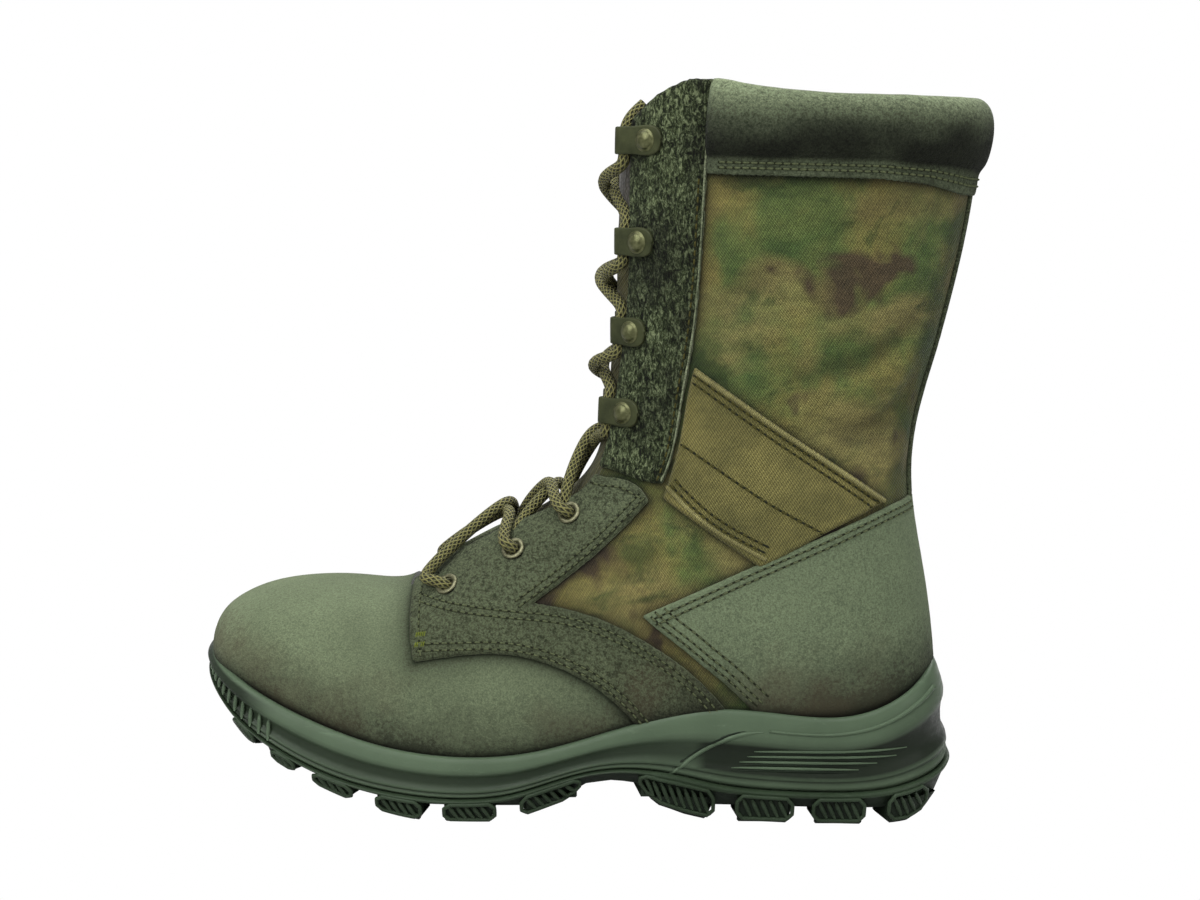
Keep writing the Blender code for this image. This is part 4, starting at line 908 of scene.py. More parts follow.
# Overlays cut to an outline
def overlay(name, outline, sections, columns, thick, materials, edge=1.0, wobble=0.0,
            roll=0.0, lift=0.12, bumps=0.0, step=(0.06, 0.08), cut=None, edge_dark=0.5):
    """A layer on the form inside an outline seen from the side. edge is how far in it rounds."""
    us = np.arange(sections[0], sections[1] + 1e-6, step[0])
    cs = np.arange(columns[0], columns[1] + 1e-6, step[1])
    uu, cc = np.meshgrid(us, cs, indexing="ij")

    def inside(u, c):
        place = sample(BASE, u, c)
        x, z = place[..., 0], place[..., 2]
        if callable(outline):
            value = outline(place, u, c)
        else:
            value = inside_of(outline, x, z)
        if wobble:
            value = value + wobble * noise(place, 2.3) + 0.6 * wobble * noise(place, 0.9)
        if cut is not None:
            value = np.minimum(value, cut(place, u, c))
        return value

    value = inside(uu, cc)
    rows, cols = uu.shape
    best = np.full(uu.shape, 9.0)
    du, dc = np.zeros(uu.shape), np.zeros(uu.shape)
    moved = np.zeros(uu.shape, bool)
    for si, sk in ((1, 0), (0, 1), (1, 1)):
        a = value[:rows - si, :cols - sk]
        b = value[si:, sk:]
        cross = (a > 0) != (b > 0)
        share = np.where(cross, a / np.where(cross, a - b, 1.0), 0.0)
        for first in (True, False):
            mine = cross & ((share <= 0.5) if first else (share > 0.5))
            amount = share if first else 1 - share
            ii, kk = np.nonzero(mine)
            ti, tk = (ii, kk) if first else (ii + si, kk + sk)
            sign = 1 if first else -1
            better = amount[ii, kk] < best[ti, tk]
            ii, kk, ti, tk = ii[better], kk[better], ti[better], tk[better]
            best[ti, tk] = amount[ii, kk]
            du[ti, tk] = sign * amount[ii, kk] * si * step[0]
            dc[ti, tk] = sign * amount[ii, kk] * sk * step[1]
            moved[ti, tk] = True
    uu, cc = uu + du, cc + dc
    value = np.where(moved, 0.0, value)
    place, normal = sample(FORM, uu, cc), sample(FORM_N, uu, cc)
    depth = np.clip(value, 0.0, None)
    round_over = 1.0 - (1.0 - np.clip(depth / edge, 0, 1)) ** 2
    height = lift + thick * (0.55 + 0.45 * round_over)
    if roll:
        height = height + roll * np.exp(-(((depth - 1.3) / 0.9) ** 2))
    if bumps:
        height = height + bumps * noise(place, 1.6) + 0.6 * bumps * noise(place, 0.8)
    top = place + normal * height[..., None]
    low = place - normal * 0.35
    keep_a = (value[:-1, :-1] >= 0) & (value[1:, :-1] >= 0) & (value[1:, 1:] >= 0)
    keep_a &= (value[:-1, :-1] + value[1:, :-1] + value[1:, 1:]) > 0
    keep_b = (value[:-1, :-1] >= 0) & (value[1:, 1:] >= 0) & (value[:-1, 1:] >= 0)
    keep_b &= (value[:-1, :-1] + value[1:, 1:] + value[:-1, 1:]) > 0
    faces = []
    index = np.arange(rows * cols).reshape(rows, cols)
    for i, k in zip(*np.nonzero(keep_a | keep_b)):
        a, b, d, e = index[i, k], index[i + 1, k], index[i + 1, k + 1], index[i, k + 1]
        if keep_a[i, k] and keep_b[i, k]:
            faces.append((a, e, d, b))
        elif keep_a[i, k]:
            faces.append((a, d, b))
        else:
            faces.append((a, e, d))
    edges = {}
    for face in faces:
        for p, q in zip(face, face[1:] + face[:1]):
            if (q, p) in edges:
                del edges[(q, p)]
            else:
                edges[(p, q)] = True
    top, low = top.reshape(-1, 3), low.reshape(-1, 3)
    base = len(top)
    rim = [(q, p, p + base, q + base) for p, q in edges]
    every = faces + [tuple(int(i) for i in face) for face in rim]
    used = np.unique(np.concatenate([np.ravel(face) for face in every]))
    renumber = np.full(2 * base, -1)
    renumber[used] = np.arange(len(used))
    every = [tuple(int(renumber[i]) for i in face) for face in every]
    points = np.vstack([top, low])[used]
    tags = [0] * len(faces) + [min(1, len(materials) - 1)] * len(rim)
    obj = add_mesh(name, points, every, materials, tags=tags)
    # Darker near the layer's edge and just above the sole's rim; the foot of the cut edge gets strong
    # painted shade.
    near_edge = 0.55 * np.exp(-np.clip(depth - 0.4, 0, None) / 0.7) * (depth > 0.35)
    over_sole = 0.85 * np.exp(-np.clip(place[..., 2] - soft_table(RIM, place[..., 0]), 0, None) / 2.5)
    shade = np.maximum(near_edge * edge_dark, over_sole).ravel()
    set_shade_and_dirt(obj, np.concatenate([shade, np.full(base, 0.9)])[used])
    return obj


def above_rim(place, u, c):
    """How far points lie above the sole's rim."""
    return place[..., 2] - table(RIM, place[..., 0]) + 2.5


def clear_of_eyelets(place, u, c):
    """How far points lie above the sole's rim and outside the eyelets' holes."""
    best = above_rim(place, u, c)
    for x, z in EYELETS:
        best = np.minimum(best, np.hypot(place[..., 0] - x, place[..., 2] - z) - EYELET_HOLE)
    return best


def make_overlays():
    """Facings, strips, ankle bands, heel counter and backstay."""
    made = {}
    for side, word in ((-1, "outer"), (1, "inner")):
        low, high = (1.0, 11.9) if side < 0 else (12.1, 23.0)
        made["facing", side] = overlay(
            f"facing_skin_{word}", FACING_LINE, (5.4, 12.4), (low, high), 1.7, [LEATHER, RAW_EDGE],
            edge=0.9, wobble=0.16, cut=clear_of_eyelets, bumps=0.05, roll=0.10)
        stand_for(made["facing", side], [f"facing_{word}"])
        made["strip", side] = overlay(
            f"strip_skin_{word}", STRIP_LINE, (9.0, 20.7), (low, high), 2.0, [SUEDE, RAW_EDGE],
            edge=1.2, wobble=0.34, bumps=0.22, step=(0.05, 0.06))
        stand_for(made["strip", side], [f"strip_{word}"])
        made["webbing", side] = overlay(
            f"webbing_skin_{word}", WEBBING_LINE, (9.0, 17.4), (low, high), 1.1, [WEB, WEB_FOLD_HIGHLIGHT],
            edge=0.8, roll=0.75, bumps=0.05, step=(0.045, 0.06))
        stand_for(made["webbing", side], [f"webbing_{word}"])
    made["counter", 0] = overlay(
        "counter_skin", COUNTER_LINE, (8.3, 16.6), (3.6, 20.4), 1.5, [COUNTER_LEATHER, RAW_EDGE],
        edge=1.0, wobble=0.10, cut=above_rim, bumps=0.04, step=(0.06, 0.07))
    stand_for(made["counter", 0], ["counter"])

    def stay(place, u, c):
        across = 8.8 - np.abs(place[..., 1])
        behind = place[..., 0]
        height = np.minimum(place[..., 2] - 123.5, 246.0 - place[..., 2])
        return np.minimum(np.minimum(across, height), behind)

    made["stay", 0] = overlay(
        "backstay_skin", stay, (14.0, 20.6), (9.2, 14.8), 1.5, [LEATHER, LEATHER],
        edge=0.9, wobble=0.08, bumps=0.04)
    stand_for(made["stay", 0], ["backstay"])
    return made


make_upper()


def make_toe_tip():
    """The small round end of the toe, behind the sole's rim."""
    ring = sample(FORM, np.zeros(len(GRID_C)), GRID_C)
    behind = sample(FORM, np.full(len(GRID_C), 0.4), GRID_C)
    ahead = (ring - behind).mean(axis=0)
    ahead /= np.linalg.norm(ahead)
    centre = ring.mean(axis=0)
    reach = np.linalg.norm(ring - centre, axis=1).mean()
    slope = np.linalg.norm((ring - behind) @ ahead) / max(np.linalg.norm(ring - behind), 1e-6)
    bulge = ahead * reach * 0.22 * min(slope, 1.0)
    rows = [ring]
    for share in (0.85, 0.65, 0.45, 0.25, 0.10):
        rows.append(centre + (ring - centre) * share + bulge * (1 - share ** 2))
    points = np.vstack(rows + [(centre + bulge)[None, :]])
    cols = len(GRID_C)
    faces = ring_faces(len(rows), cols)
    last = (len(rows) - 1) * cols
    faces += [(last + k, last + (k + 1) % cols, last + cols) for k in range(cols)]
    tip = add_mesh("toe_tip", points, faces, [VAMP])
    stand_for(tip, [])


make_toe_tip()
overlays = make_overlays()


# The padded cuff
CUFF_ROLL = [  # height and distance out from the wall, up the outside, over the roll and down inside
    (247.0, 0.6), (247.0, 1.6), (247.2, 2.4), (249.5, 2.5), (252.3, 2.5), (253.6, 3.0), (255.4, 5.2),
    (260.0, 6.6), (265.5, 7.0), (271.0, 6.2), (275.2, 3.6), (277.4, -0.6), (276.2, -4.8), (273.0, -7.6),
    (266.0, -9.0), (259.0, -8.6), (252.5, -6.2), (248.5, -3.6), (247.6, -2.6),
]
CUFF_SHADE = [  # height and how much painted shade the roll gets there: lit on top, shaded down its lower side, darker on the flange
    (247.0, 0.66), (252.0, 0.72), (254.0, 1.0), (259.0, 0.98), (266.0, 0.84), (273.0, 0.34), (277.0, 0.0),
]


def make_cuff():
    """The padded roll round the back of the top, with its flange and puckers."""
    numbers = np.arange(16.0, 21.0001, 0.1)
    cs = np.arange(0.0, 24.0, 0.1)
    wall = surface(numbers, cs)
    outward = normals_of(wall)[-3]
    outward[:, 2] = 0.0
    outward /= np.linalg.norm(outward, axis=1, keepdims=True)
    behind = np.flatnonzero(wall[-2, :, 0] > CUFF_FRONT_X)
    columns = np.arange(behind[0], behind[-1] + 1)
    line = spline(CUFF_ROLL, np.linspace(0, len(CUFF_ROLL) - 1, 74))
    rings = []
    for height, out in line:
        column_lines = wall[:, columns]
        x_top = column_lines[-2, :, 0]
        lift = table(CUFF_PEAK, x_top) * max(0.0, (height - 262.0) / 15.0)
        drop = table(CUFF_DROP, x_top) * max(0.0, (262.0 - height) / 15.0)
        z = height + lift - drop
        row = []
        for k in range(len(columns)):
            place = [np.interp(z[k], column_lines[:, k, 2], column_lines[:, k, axis]) for axis in range(3)]
            row.append(place)
        row = np.array(row)
        row[:, 2] = z
        rings.append(row + outward[columns] * out)
    rings = np.array(rings).transpose(1, 0, 2)
    centre = rings.mean(axis=1, keepdims=True)
    run = np.linalg.norm(np.diff(centre[:, 0], axis=0), axis=1)
    along = np.concatenate([[0], np.cumsum(run)])
    edge = np.minimum(along, along[-1] - along)
    squeeze = 0.25 + 0.75 * np.clip(edge / 7.0, 0, 1) ** 0.5
    shape = 1 - (1 - squeeze)[:, None, None] * np.array([0.0, 0.6, 0.03])
    rings = centre + (rings - centre) * shape
    pad = np.clip((line[:, 0] - 253.0) / 6.0, 0, 1)[None, :]
    puff = pad * (0.32 * noise(rings, 17.0) + 0.16 * noise(rings, 6.5))
    normal = normals_of(rings, closed=False)
    flip = np.sign(((rings - centre) * normal).sum(axis=2).mean())
    rings = rings + flip * normal * puff[..., None]
    pinch = 0.22 * (1 - pad) * np.sin(along[:, None] / 3.1 * 2 * math.pi)
    rings = rings + flip * normal * np.clip(pinch, -0.2, 0.2)[..., None]
    rows, cols = rings.shape[:2]
    faces = []
    for i in range(rows - 1):
        for k in range(cols):
            n = (k + 1) % cols
            a, b, d, e = i * cols + k, (i + 1) * cols + k, (i + 1) * cols + n, i * cols + n
            faces.append((a, e, d, b) if flip > 0 else (a, b, d, e))
    faces.append(tuple(range(cols)))
    faces.append(tuple((rows - 1) * cols + k for k in range(cols - 1, -1, -1)))
    obj = add_mesh("cuff_skin", rings, faces, [CUFF_LEATHER])
    height = np.broadcast_to(line[:, 0], rings.shape[:2])
    outside = np.broadcast_to(np.arange(len(line)) < 45, rings.shape[:2])
    shade = table(CUFF_SHADE, height)
    # Painted shade: the outside of the roll follows the table with a little noise, and the inside gets a
    # fixed amount.
    set_shade_and_dirt(obj, np.where(outside, shade + 0.12 * noise(rings, 14.0), 0.3))
    stand_for(obj, ["cuff"])
    return rings, line


CUFF_RINGS, CUFF_LINE = make_cuff()


# Tongue and footbed
def make_tongue():
    """The tongue as a thin curved sheet."""
    u = np.arange(5.4, 19.6001, 0.08)
    share = np.linspace(-2.9, 2.9, 60)
    uu, ss = np.meshgrid(u, share, indexing="ij")
    place = sample(BASE, uu, ss % 24.0)
    normal = sample(BASE_N, uu, ss % 24.0)
    wide = np.clip((uu - 8.0) / 6.0, 0, 1)
    folds = 0.35 * noise(place, 15.0) + 0.22 * np.sin(place[..., 2] / 4.7 + 1.3 * noise(place, 11.0))
    edge = np.clip((2.9 - np.abs(ss)) / 0.35, 0, 1)
    depth = -2.2 - 1.05 + np.clip(folds, -0.45, 0.45) * (0.4 + 0.6 * wide)
    top = place + normal * depth[..., None]
    low = place + normal * (depth - 2.6 * (0.35 + 0.65 * edge))[..., None]
    rows, cols = uu.shape
    faces = []
    size = rows * cols
    for i in range(rows - 1):
        for k in range(cols - 1):
            a, b, d, e = i * cols + k, (i + 1) * cols + k, (i + 1) * cols + k + 1, i * cols + k + 1
            faces.append((a, e, d, b))
            faces.append((a + size, b + size, d + size, e + size))
        a, b = i * cols, (i + 1) * cols
        faces.append((a, b, b + size, a + size))
        a, b = i * cols + cols - 1, (i + 1) * cols + cols - 1
        faces.append((b, a, a + size, b + size))
    for k in range(cols - 1):
        a = k
        faces.append((a + 1, a, a + size, a + 1 + size))
        b = (rows - 1) * cols + k
        faces.append((b, b + 1, b + 1 + size, b + size))
    points = np.vstack([top.reshape(-1, 3), low.reshape(-1, 3)])
    heights = points[:, 2]
    tags = [1 if heights[list(face)].mean() > 232.0 or face[0] >= size else 0 for face in faces]
    obj = add_mesh("tongue_skin", points, faces, [TONGUE_CLOTH, LINING], tags=tags)
    stand_for(obj, ["tongue"])


def make_footbed():
    """The footbed inside, between the walls."""
    floor = spline([(row[2], row[3]) for row in LAST], np.linspace(0, 11.9, 200))
    order = np.argsort(floor[:, 0])
    low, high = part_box("insole")
    x0, x1 = low[0] / MM + 0.6, high[0] / MM - 0.6
    xs = x0 + (x1 - x0) * (0.5 - 0.5 * np.cos(np.linspace(0, math.pi, 120)))
    rows = []
    inner = BASE - BASE_N * 2.9
    flat = inner.reshape(-1, 3)
    for x in xs:
        z = np.interp(x, floor[order, 0], floor[order, 1]) + 2.2 + 0.3 + 0.4 + 4.0
        near = flat[(np.abs(flat[:, 0] - x) < 2.2) & (np.abs(flat[:, 2] - z) < 2.2)]
        left = near[near[:, 1] < 0, 1].max() if (near[:, 1] < 0).any() else -1.0
        right = near[near[:, 1] > 0, 1].min() if (near[:, 1] > 0).any() else 1.0
        rows.append((x, left + 0.5, right - 0.5, z))
    rows = np.array(rows)
    for _ in range(6):
        rows[1:-1, 1:] = (rows[:-2, 1:] + 2 * rows[1:-1, 1:] + rows[2:, 1:]) / 4
    share = np.linspace(0, 1, 40)
    points = []
    for x, left, right, z in rows:
        y = left + (right - left) * share
        dish = 1.2 * np.abs(2 * share - 1) ** 3 - 0.8
        points.append(np.stack([np.full(40, x), y, z + dish], axis=1))
    top = np.array(points)
    low_points = top - np.array([0, 0, 3.4])
    cols, size = 40, len(rows) * 40
    faces = []
    for i in range(len(rows) - 1):
        for k in range(cols - 1):
            a, b, d, e = i * cols + k, (i + 1) * cols + k, (i + 1) * cols + k + 1, i * cols + k + 1
            faces.append((a, b, d, e))
            faces.append((a + size, e + size, d + size, b + size))
        a, b = i * cols, (i + 1) * cols
        faces.append((b, a, a + size, b + size))
        a, b = i * cols + cols - 1, (i + 1) * cols + cols - 1
        faces.append((a, b, b + size, a + size))
    points = np.vstack([top.reshape(-1, 3), low_points.reshape(-1, 3)])
    obj = add_mesh("footbed_skin", points, faces, [FOOTBED])
    stand_for(obj, ["insole"])


make_tongue()
make_footbed()


# The sole
def sole_loop(stations, distance):
    """A closed plan line of the sole, stepped outward from its outline."""
    share = np.linspace(-1, 1, stations)
    spread = np.sign(share) * (1 - (1 - np.abs(share)) ** 1.6)
    rows = spline(OUTLINE, (spread + 1) / 2 * (len(OUTLINE) - 1))
    outer, inner = rows[:, [0, 1]], rows[:, [0, 2]]
    loop = np.vstack([outer, inner[-2:0:-1]])
    along = np.roll(loop, -1, axis=0) - np.roll(loop, 1, axis=0)
    along /= np.linalg.norm(along, axis=1, keepdims=True)
    outward = np.stack([along[:, 1], -along[:, 0]], axis=1)
    area = np.sum(loop[:, 0] * np.roll(loop[:, 1], -1) - np.roll(loop[:, 0], -1) * loop[:, 1])
    return loop + outward * np.asarray(distance)[..., None] * np.sign(area)


STATIONS = 150


def shifted(loop, toe_shift, heel_shift):
    """The loop with its toe and heel moved along."""
    loop = loop.copy()
    loop[:, 0] += toe_shift * np.clip((-215.0 - loop[:, 0]) / 46.0, 0.0, 1.0) ** 1.5
    loop[:, 0] += heel_shift * np.clip((loop[:, 0] - 5.0) / 34.0, 0.0, 1.0) ** 1.5
    return loop


def make_midsole():
    """The cup: a bevelled rim, a hollowed side with a double line, and a kick lip at the heel."""
    profile = [
        # share of height, step outward, toe shift, heel shift
        (0.00, -1.6, 1.5, 0.0), (0.03, -0.9, 1.4, 0.0), (0.07, -0.7, 1.4, 0.0),
        (0.10, -1.5, 1.3, 0.0), (0.125, -1.5, 1.2, 0.0), (0.15, -0.8, 1.2, 0.0),
        (0.20, -0.9, 1.0, -0.4), (0.24, -2.0, 0.9, -0.6), (0.34, -2.5, 0.8, -1.2),
        (0.45, -2.3, 0.6, -1.8), (0.54, -1.6, 0.6, -2.2), (0.59, -0.5, 0.5, -2.6),
        (0.64, -0.1, 0.5, -3.0), (0.72, -0.4, 0.7, -3.6), (0.86, -1.2, 1.1, -4.8),
        (0.94, -1.8, 1.6, -5.6), (0.985, -2.6, 2.0, -6.2), (1.00, -3.6, 2.4, -6.9),
        (0.985, -4.8, 2.8, -7.6), (0.90, -5.4, 3.0, -8.0),
    ]
    rings = []
    for share, step, toe, heel in profile:
        loop = shifted(sole_loop(STATIONS, step), toe, heel)
        x = loop[:, 0]
        low, high = soft_table(PARTING, x), soft_table(RIM, x)
        z = low + share * (high - low)
        rings.append(np.column_stack([loop, z]))
    outer = np.array(rings)
    # deepen the hollow at the heel, leave it shallow at the toe
    bottom_in = shifted(sole_loop(STATIONS, -14.0), 1.0, 0.0)
    rings.append(np.column_stack([bottom_in, soft_table(PARTING, bottom_in[:, 0]) + 3.0]))
    bottom = shifted(sole_loop(STATIONS, -13.0), 1.0, 0.0)
    rings.append(np.column_stack([bottom, soft_table(PARTING, bottom[:, 0])]))
    rings = np.array(rings)
    rows, cols = rings.shape[:2]
    faces = ring_faces(rows, cols, closed=True)
    base = add_mesh("midsole_skin", rings, faces, [MIDSOLE])
    shares = np.array([row[0] for row in profile] + [0.5, 0.5])
    # Painted shade by height: light on the rim's top and the bulge, dark in the double line and the hollow,
    # and dark on the rim's inner side and the bottom rings.
    band = np.interp(shares[:18], [0, 0.09, 0.12, 0.15, 0.22, 0.36, 0.52, 0.60, 0.70, 1.0],
                     [0.5, 0.25, 0.9, 0.25, 0.55, 0.80, 0.62, 0.30, 0.08, 0.0])
    band = np.concatenate([band, [0.9, 0.9, 0.9, 0.9]])[:rows]
    shade_and_dirt = np.repeat(band[:, None], cols, axis=1)
    share = np.concatenate([shares[:18], [1.0, 1.0, 0.0, 0.0]])[:rows, None] + np.zeros((1, cols))
    x = rings[..., 0]
    # Darker still in the side's hollow at the heel and round the toe.
    heel_side = np.clip((x + 66.0) / 8.0, 0, 1) * ((share > 0.16) & (share < 0.58))
    toe_side = np.clip((-224.0 - x) / 14.0, 0, 1) * (share < 0.94)
    shade_and_dirt = np.maximum(shade_and_dirt, np.maximum(heel_side, 0.9 * toe_side))
    set_shade_and_dirt(base, shade_and_dirt)
    return base, outer


def check_outward(obj, inside):
    mesh = obj.data
    total = sum((p.center - Vector(inside)).dot(p.normal) * p.area for p in mesh.polygons)
    if total < 0:
        mesh.flip_normals()


midsole, MID_RINGS = make_midsole()
check_outward(midsole, (-0.11, 0.0, 0.03))
stand_for(midsole, ["midsole"])


def outsole_rings(count):
    """Rings of the outsole's side band."""
    profile = [
        (1.00, -0.2, 1.5, 0.0), (0.985, 0.5, 1.6, 0.0), (0.93, 0.8, 1.8, 0.0), (0.86, 0.5, 2.2, 0.0),
    ]
    rings = []
    for share, step, toe, heel in profile:
        loop = shifted(sole_loop(count, step), toe, heel)
        x = loop[:, 0]
        low, high = tread_z(x), soft_table(PARTING, x) - 0.3
        rings.append(np.column_stack([loop, low + share * (high - low)]))
    return rings


def make_outsole():
    """A web with its side band, and separate lugs with ribs that reach the floor."""
    count = STATIONS
    rings = outsole_rings(count)
    web_top = shifted(sole_loop(count, -3.4), 4.5, -1.0)
    x = web_top[:, 0]
    groove = toe_spring(x) + table(LUG_DEPTH, x) + 0.2
    arch = np.clip(tread_z(x), groove, None)
    level = np.maximum(groove, np.minimum(arch, soft_table(PARTING, x) - 1.5))
    level = np.where((x > -128) & (x < -72), np.maximum(level, tread_z(x) + 0.4), level)
    level = np.minimum(level, soft_table(PARTING, x) - 1.2)
    rings.append(np.column_stack([web_top, level + 1.6]))
    under = shifted(sole_loop(count, -0.4), 2.6, -0.2)
    rings.insert(4, np.column_stack([under, tread_z(under[:, 0]) + 0.82 * (
        soft_table(PARTING, under[:, 0]) - 0.3 - tread_z(under[:, 0]))]))
    rings[5][:, 2] = np.minimum(rings[5][:, 2], rings[4][:, 2])
    loop = shifted(sole_loop(count, -5.0), 5.5, -1.5)
    rings.append(np.column_stack([loop, level]))
    rings = np.array(rings)
    rows, cols = rings.shape[:2]
    faces = ring_faces(rows, cols)
    half = cols // 2
    last, first = (rows - 1) * cols, 0
    for base in (last, first):
        for i in range(half):
            mirror, after = (cols - i) % cols, cols - i - 1
            corners = (base + i, base + i + 1, base + after % cols, base + mirror)
            corners = tuple(dict.fromkeys(corners))
            if len(corners) > 2:
                faces.append(corners)
    # The web underneath and every lug take the darker copy of the rubber, as painted shade; the side band
    # keeps the outsole rubber.
    wall = [1 if face[0] >= 4 * cols else 0 for face in faces]
    base = (rings.reshape(-1, 3), faces)
    lugs, detail = lug_parts()
    points, faces = join_parts([base] + lugs)
    points[:, 2] = np.maximum(points[:, 2], 0.0)
    tags = wall + [1] * (len(faces) - len(base[1]))
    obj = add_mesh("outsole_skin", points, faces, [OUTSOLE, LUG_SHADE], smooth=False, tags=tags)
    stand_for(obj, ["outsole"])
    points, faces = join_parts(detail)
    points[:, 2] = np.maximum(points[:, 2], 0.0)
    frames = add_mesh("lug_frames", points, faces, [OUTSOLE])
    stand_for(frames, [])


def edge_y(x, side, step=0.0, toe=0.0, heel=0.0):
    """Half width of the sole at x."""
    loop = shifted(sole_loop(STATIONS, step), toe, heel)
    part = loop[:STATIONS] if side < 0 else np.vstack([loop[0:1], loop[STATIONS - 1:][::-1]])
    part = part[np.argsort(part[:, 0])]
    return np.interp(x, part[:, 0], part[:, 1])


def block(corners_top, corners_low, bevel, top_z, low_z):
    """A lug: a plan polygon at the web and one at the tread, with its lower edge rounded."""
    top, low = np.asarray(corners_top, float), np.asarray(corners_low, float)
    centre = low.mean(axis=0)
    inset = low + (centre - low) / np.linalg.norm(centre - low, axis=1, keepdims=True) * bevel
    inset_half = (low * 0.35 + inset * 0.65)
    rings = [
        np.column_stack([top, top_z(top[:, 0])]),
        np.column_stack([low, low_z(low[:, 0]) + bevel]),
        np.column_stack([inset_half, low_z(inset_half[:, 0]) + bevel * 0.3]),
        np.column_stack([inset, low_z(inset[:, 0])]),
    ]
    count = len(top)
    faces = []
    for i in range(3):
        for k in range(count):
            n = (k + 1) % count
            faces.append((i * count + k, i * count + n, (i + 1) * count + n, (i + 1) * count + k))
    faces.append(tuple(range(3 * count, 4 * count)))
    return np.vstack(rings), faces


def arc_corners(points, radius, steps=3):
    """A plan polygon with its corners rounded off."""
    points = np.asarray(points, float)
    out = []
    count = len(points)
    for i in range(count):
        before, here, after = points[i - 1], points[i], points[(i + 1) % count]
        back, ahead = before - here, after - here
        reach = min(radius, 0.45 * np.linalg.norm(back), 0.45 * np.linalg.norm(ahead))
        a = here + back / max(np.linalg.norm(back), 1e-9) * reach
        b = here + ahead / max(np.linalg.norm(ahead), 1e-9) * reach
        for s in np.linspace(0, 1, steps + 1):
            out.append((1 - s) ** 2 * a + 2 * s * (1 - s) * here + s**2 * b)
    return np.array(out)


def lug_spans():
    """Stretches between the gaps of the lugs."""
    edges = [-258.0]
    for x, width in LUG_GAPS:
        edges += [x - width / 2, x + width / 2]
    edges.append(36.5)
    return [(edges[i], edges[i + 1]) for i in range(0, len(edges), 2)]


def split_span(span):
    """The long middle span leaves the arch open: a lug ahead of it and one behind."""
    a, b = span
    if a < -110 < b:
        return [(a, -104.5), (-84.5, b)]
    return [span]


def lug_parts():
    """Edge lugs, middle lugs and the details on their sides."""
    parts, detail = [], []

    def web_z(x):
        x = np.asarray(x, float)
        return np.minimum(toe_spring(x) + table(LUG_DEPTH, x) + 2.2, soft_table(PARTING, x) - 1.0)

    def low_z(x):
        return tread_z(x)

    spans = [piece for span in lug_spans() for piece in split_span(span)]
    count = 420
    loops = [shifted(sole_loop(count, step), toe, heel)
             for step, toe, heel in ((-2.0, 9.0, -3.0), (-0.5, 2.8, -0.3), (-15.5, 9.0, -3.0))]
    for side in (-1, 1):
        order = np.arange(count)
        if side > 0:
            order = np.concatenate([[0], np.arange(2 * count - 3, count - 2, -1)])
        low_loop, top_loop, in_loop = (loop[order] for loop in loops)
        for number, (a, b) in enumerate(spans):
            first = number == 0
            inside = (low_loop[:, 0] > a) & (low_loop[:, 0] < min(b, 30.5))
            if first:
                inside = low_loop[:, 0] < b
            inside &= np.abs(low_loop[:, 1]) > 2.5
            pick = np.flatnonzero(inside)
            if len(pick) < 4:
                continue
            pick = pick[np.unique(np.linspace(0, len(pick) - 1, min(len(pick), 16)).astype(int))]
            low, top, inner = low_loop[pick].copy(), top_loop[pick].copy(), in_loop[pick]
            centre = inner.mean(axis=0)
            for end in (0, -1):
                low[end] += (centre - low[end]) * 0.16
                top[end] += (centre - top[end]) * 0.10
            part = block(np.vstack([top, inner[::-1]]), np.vstack([low, inner[::-1]]), 0.9,
                         lambda x: np.minimum(web_z(x) + 2.5, soft_table(PARTING, x) - 1.2), low_z)
            parts.append(orient(part))
            if not first:
                detail += side_detail(a, min(b, 30.2), side)
    # chevron bars across the middle of the forefoot, heel and toe
    for a, b in spans:
        if a < -236:
            continue
        mid = (a + b) / 2
        half_len = (b - a) / 2 * 0.82
        for side in (-1, 1):
            y_out = edge_y(np.array([mid]), side, -2.0, 9.0, -3.0)[0] - side * 18.8
            if abs(y_out) < 4:
                continue
            y_in = side * 1.4
            shift = 5.0 if mid < -90 else -3.5
            corners = [
                (mid - half_len, y_out), (mid + half_len, y_out),
                (mid + half_len + shift, y_in), (mid - half_len + shift, y_in),
            ]
            corners = arc_corners(corners, 2.2)
            corners[:, 0] = np.clip(corners[:, 0], -254, 33)
            part = block(corners, corners, 0.8, web_z, low_z)
            parts.append(orient(part))
    return parts, detail


def orient(part):
    """Turns a closed part's faces outward."""
    points, faces = part
    centre = points.mean(axis=0)
    total = 0.0
    for face in faces:
        p = points[list(face)]
        normal = np.cross(p[1] - p[0], p[2] - p[0])
        total += (p.mean(axis=0) - centre) @ normal
    if total < 0:
        faces = [tuple(reversed(face)) for face in faces]
    return points, faces


def side_place(x, share, side, out=0.0):
    """A point on the outsole's side at a share of the height from tread to parting line."""
    x = np.asarray(x, float)
    low, high = tread_z(x), soft_table(PARTING, x) - 0.3
    step = np.interp(share, [0.0, 0.45, 0.8, 1.0], [-2.0, -0.6, 0.6, 0.0])
    toe = np.interp(share, [0.0, 0.45, 0.8, 1.0], [9.0, 5.0, 2.5, 1.5])
    heel = np.interp(share, [0.0, 0.45, 0.8, 1.0], [-3.0, -0.5, 0.0, 0.0])
    y = np.array([edge_y(np.array([xi]), side, s + out, t, h)[0] for xi, s, t, h in
                  zip(np.atleast_1d(x), np.atleast_1d(step), np.atleast_1d(toe), np.atleast_1d(heel))])
    return np.column_stack([np.atleast_1d(x), y, np.atleast_1d(low + share * (high - low))])


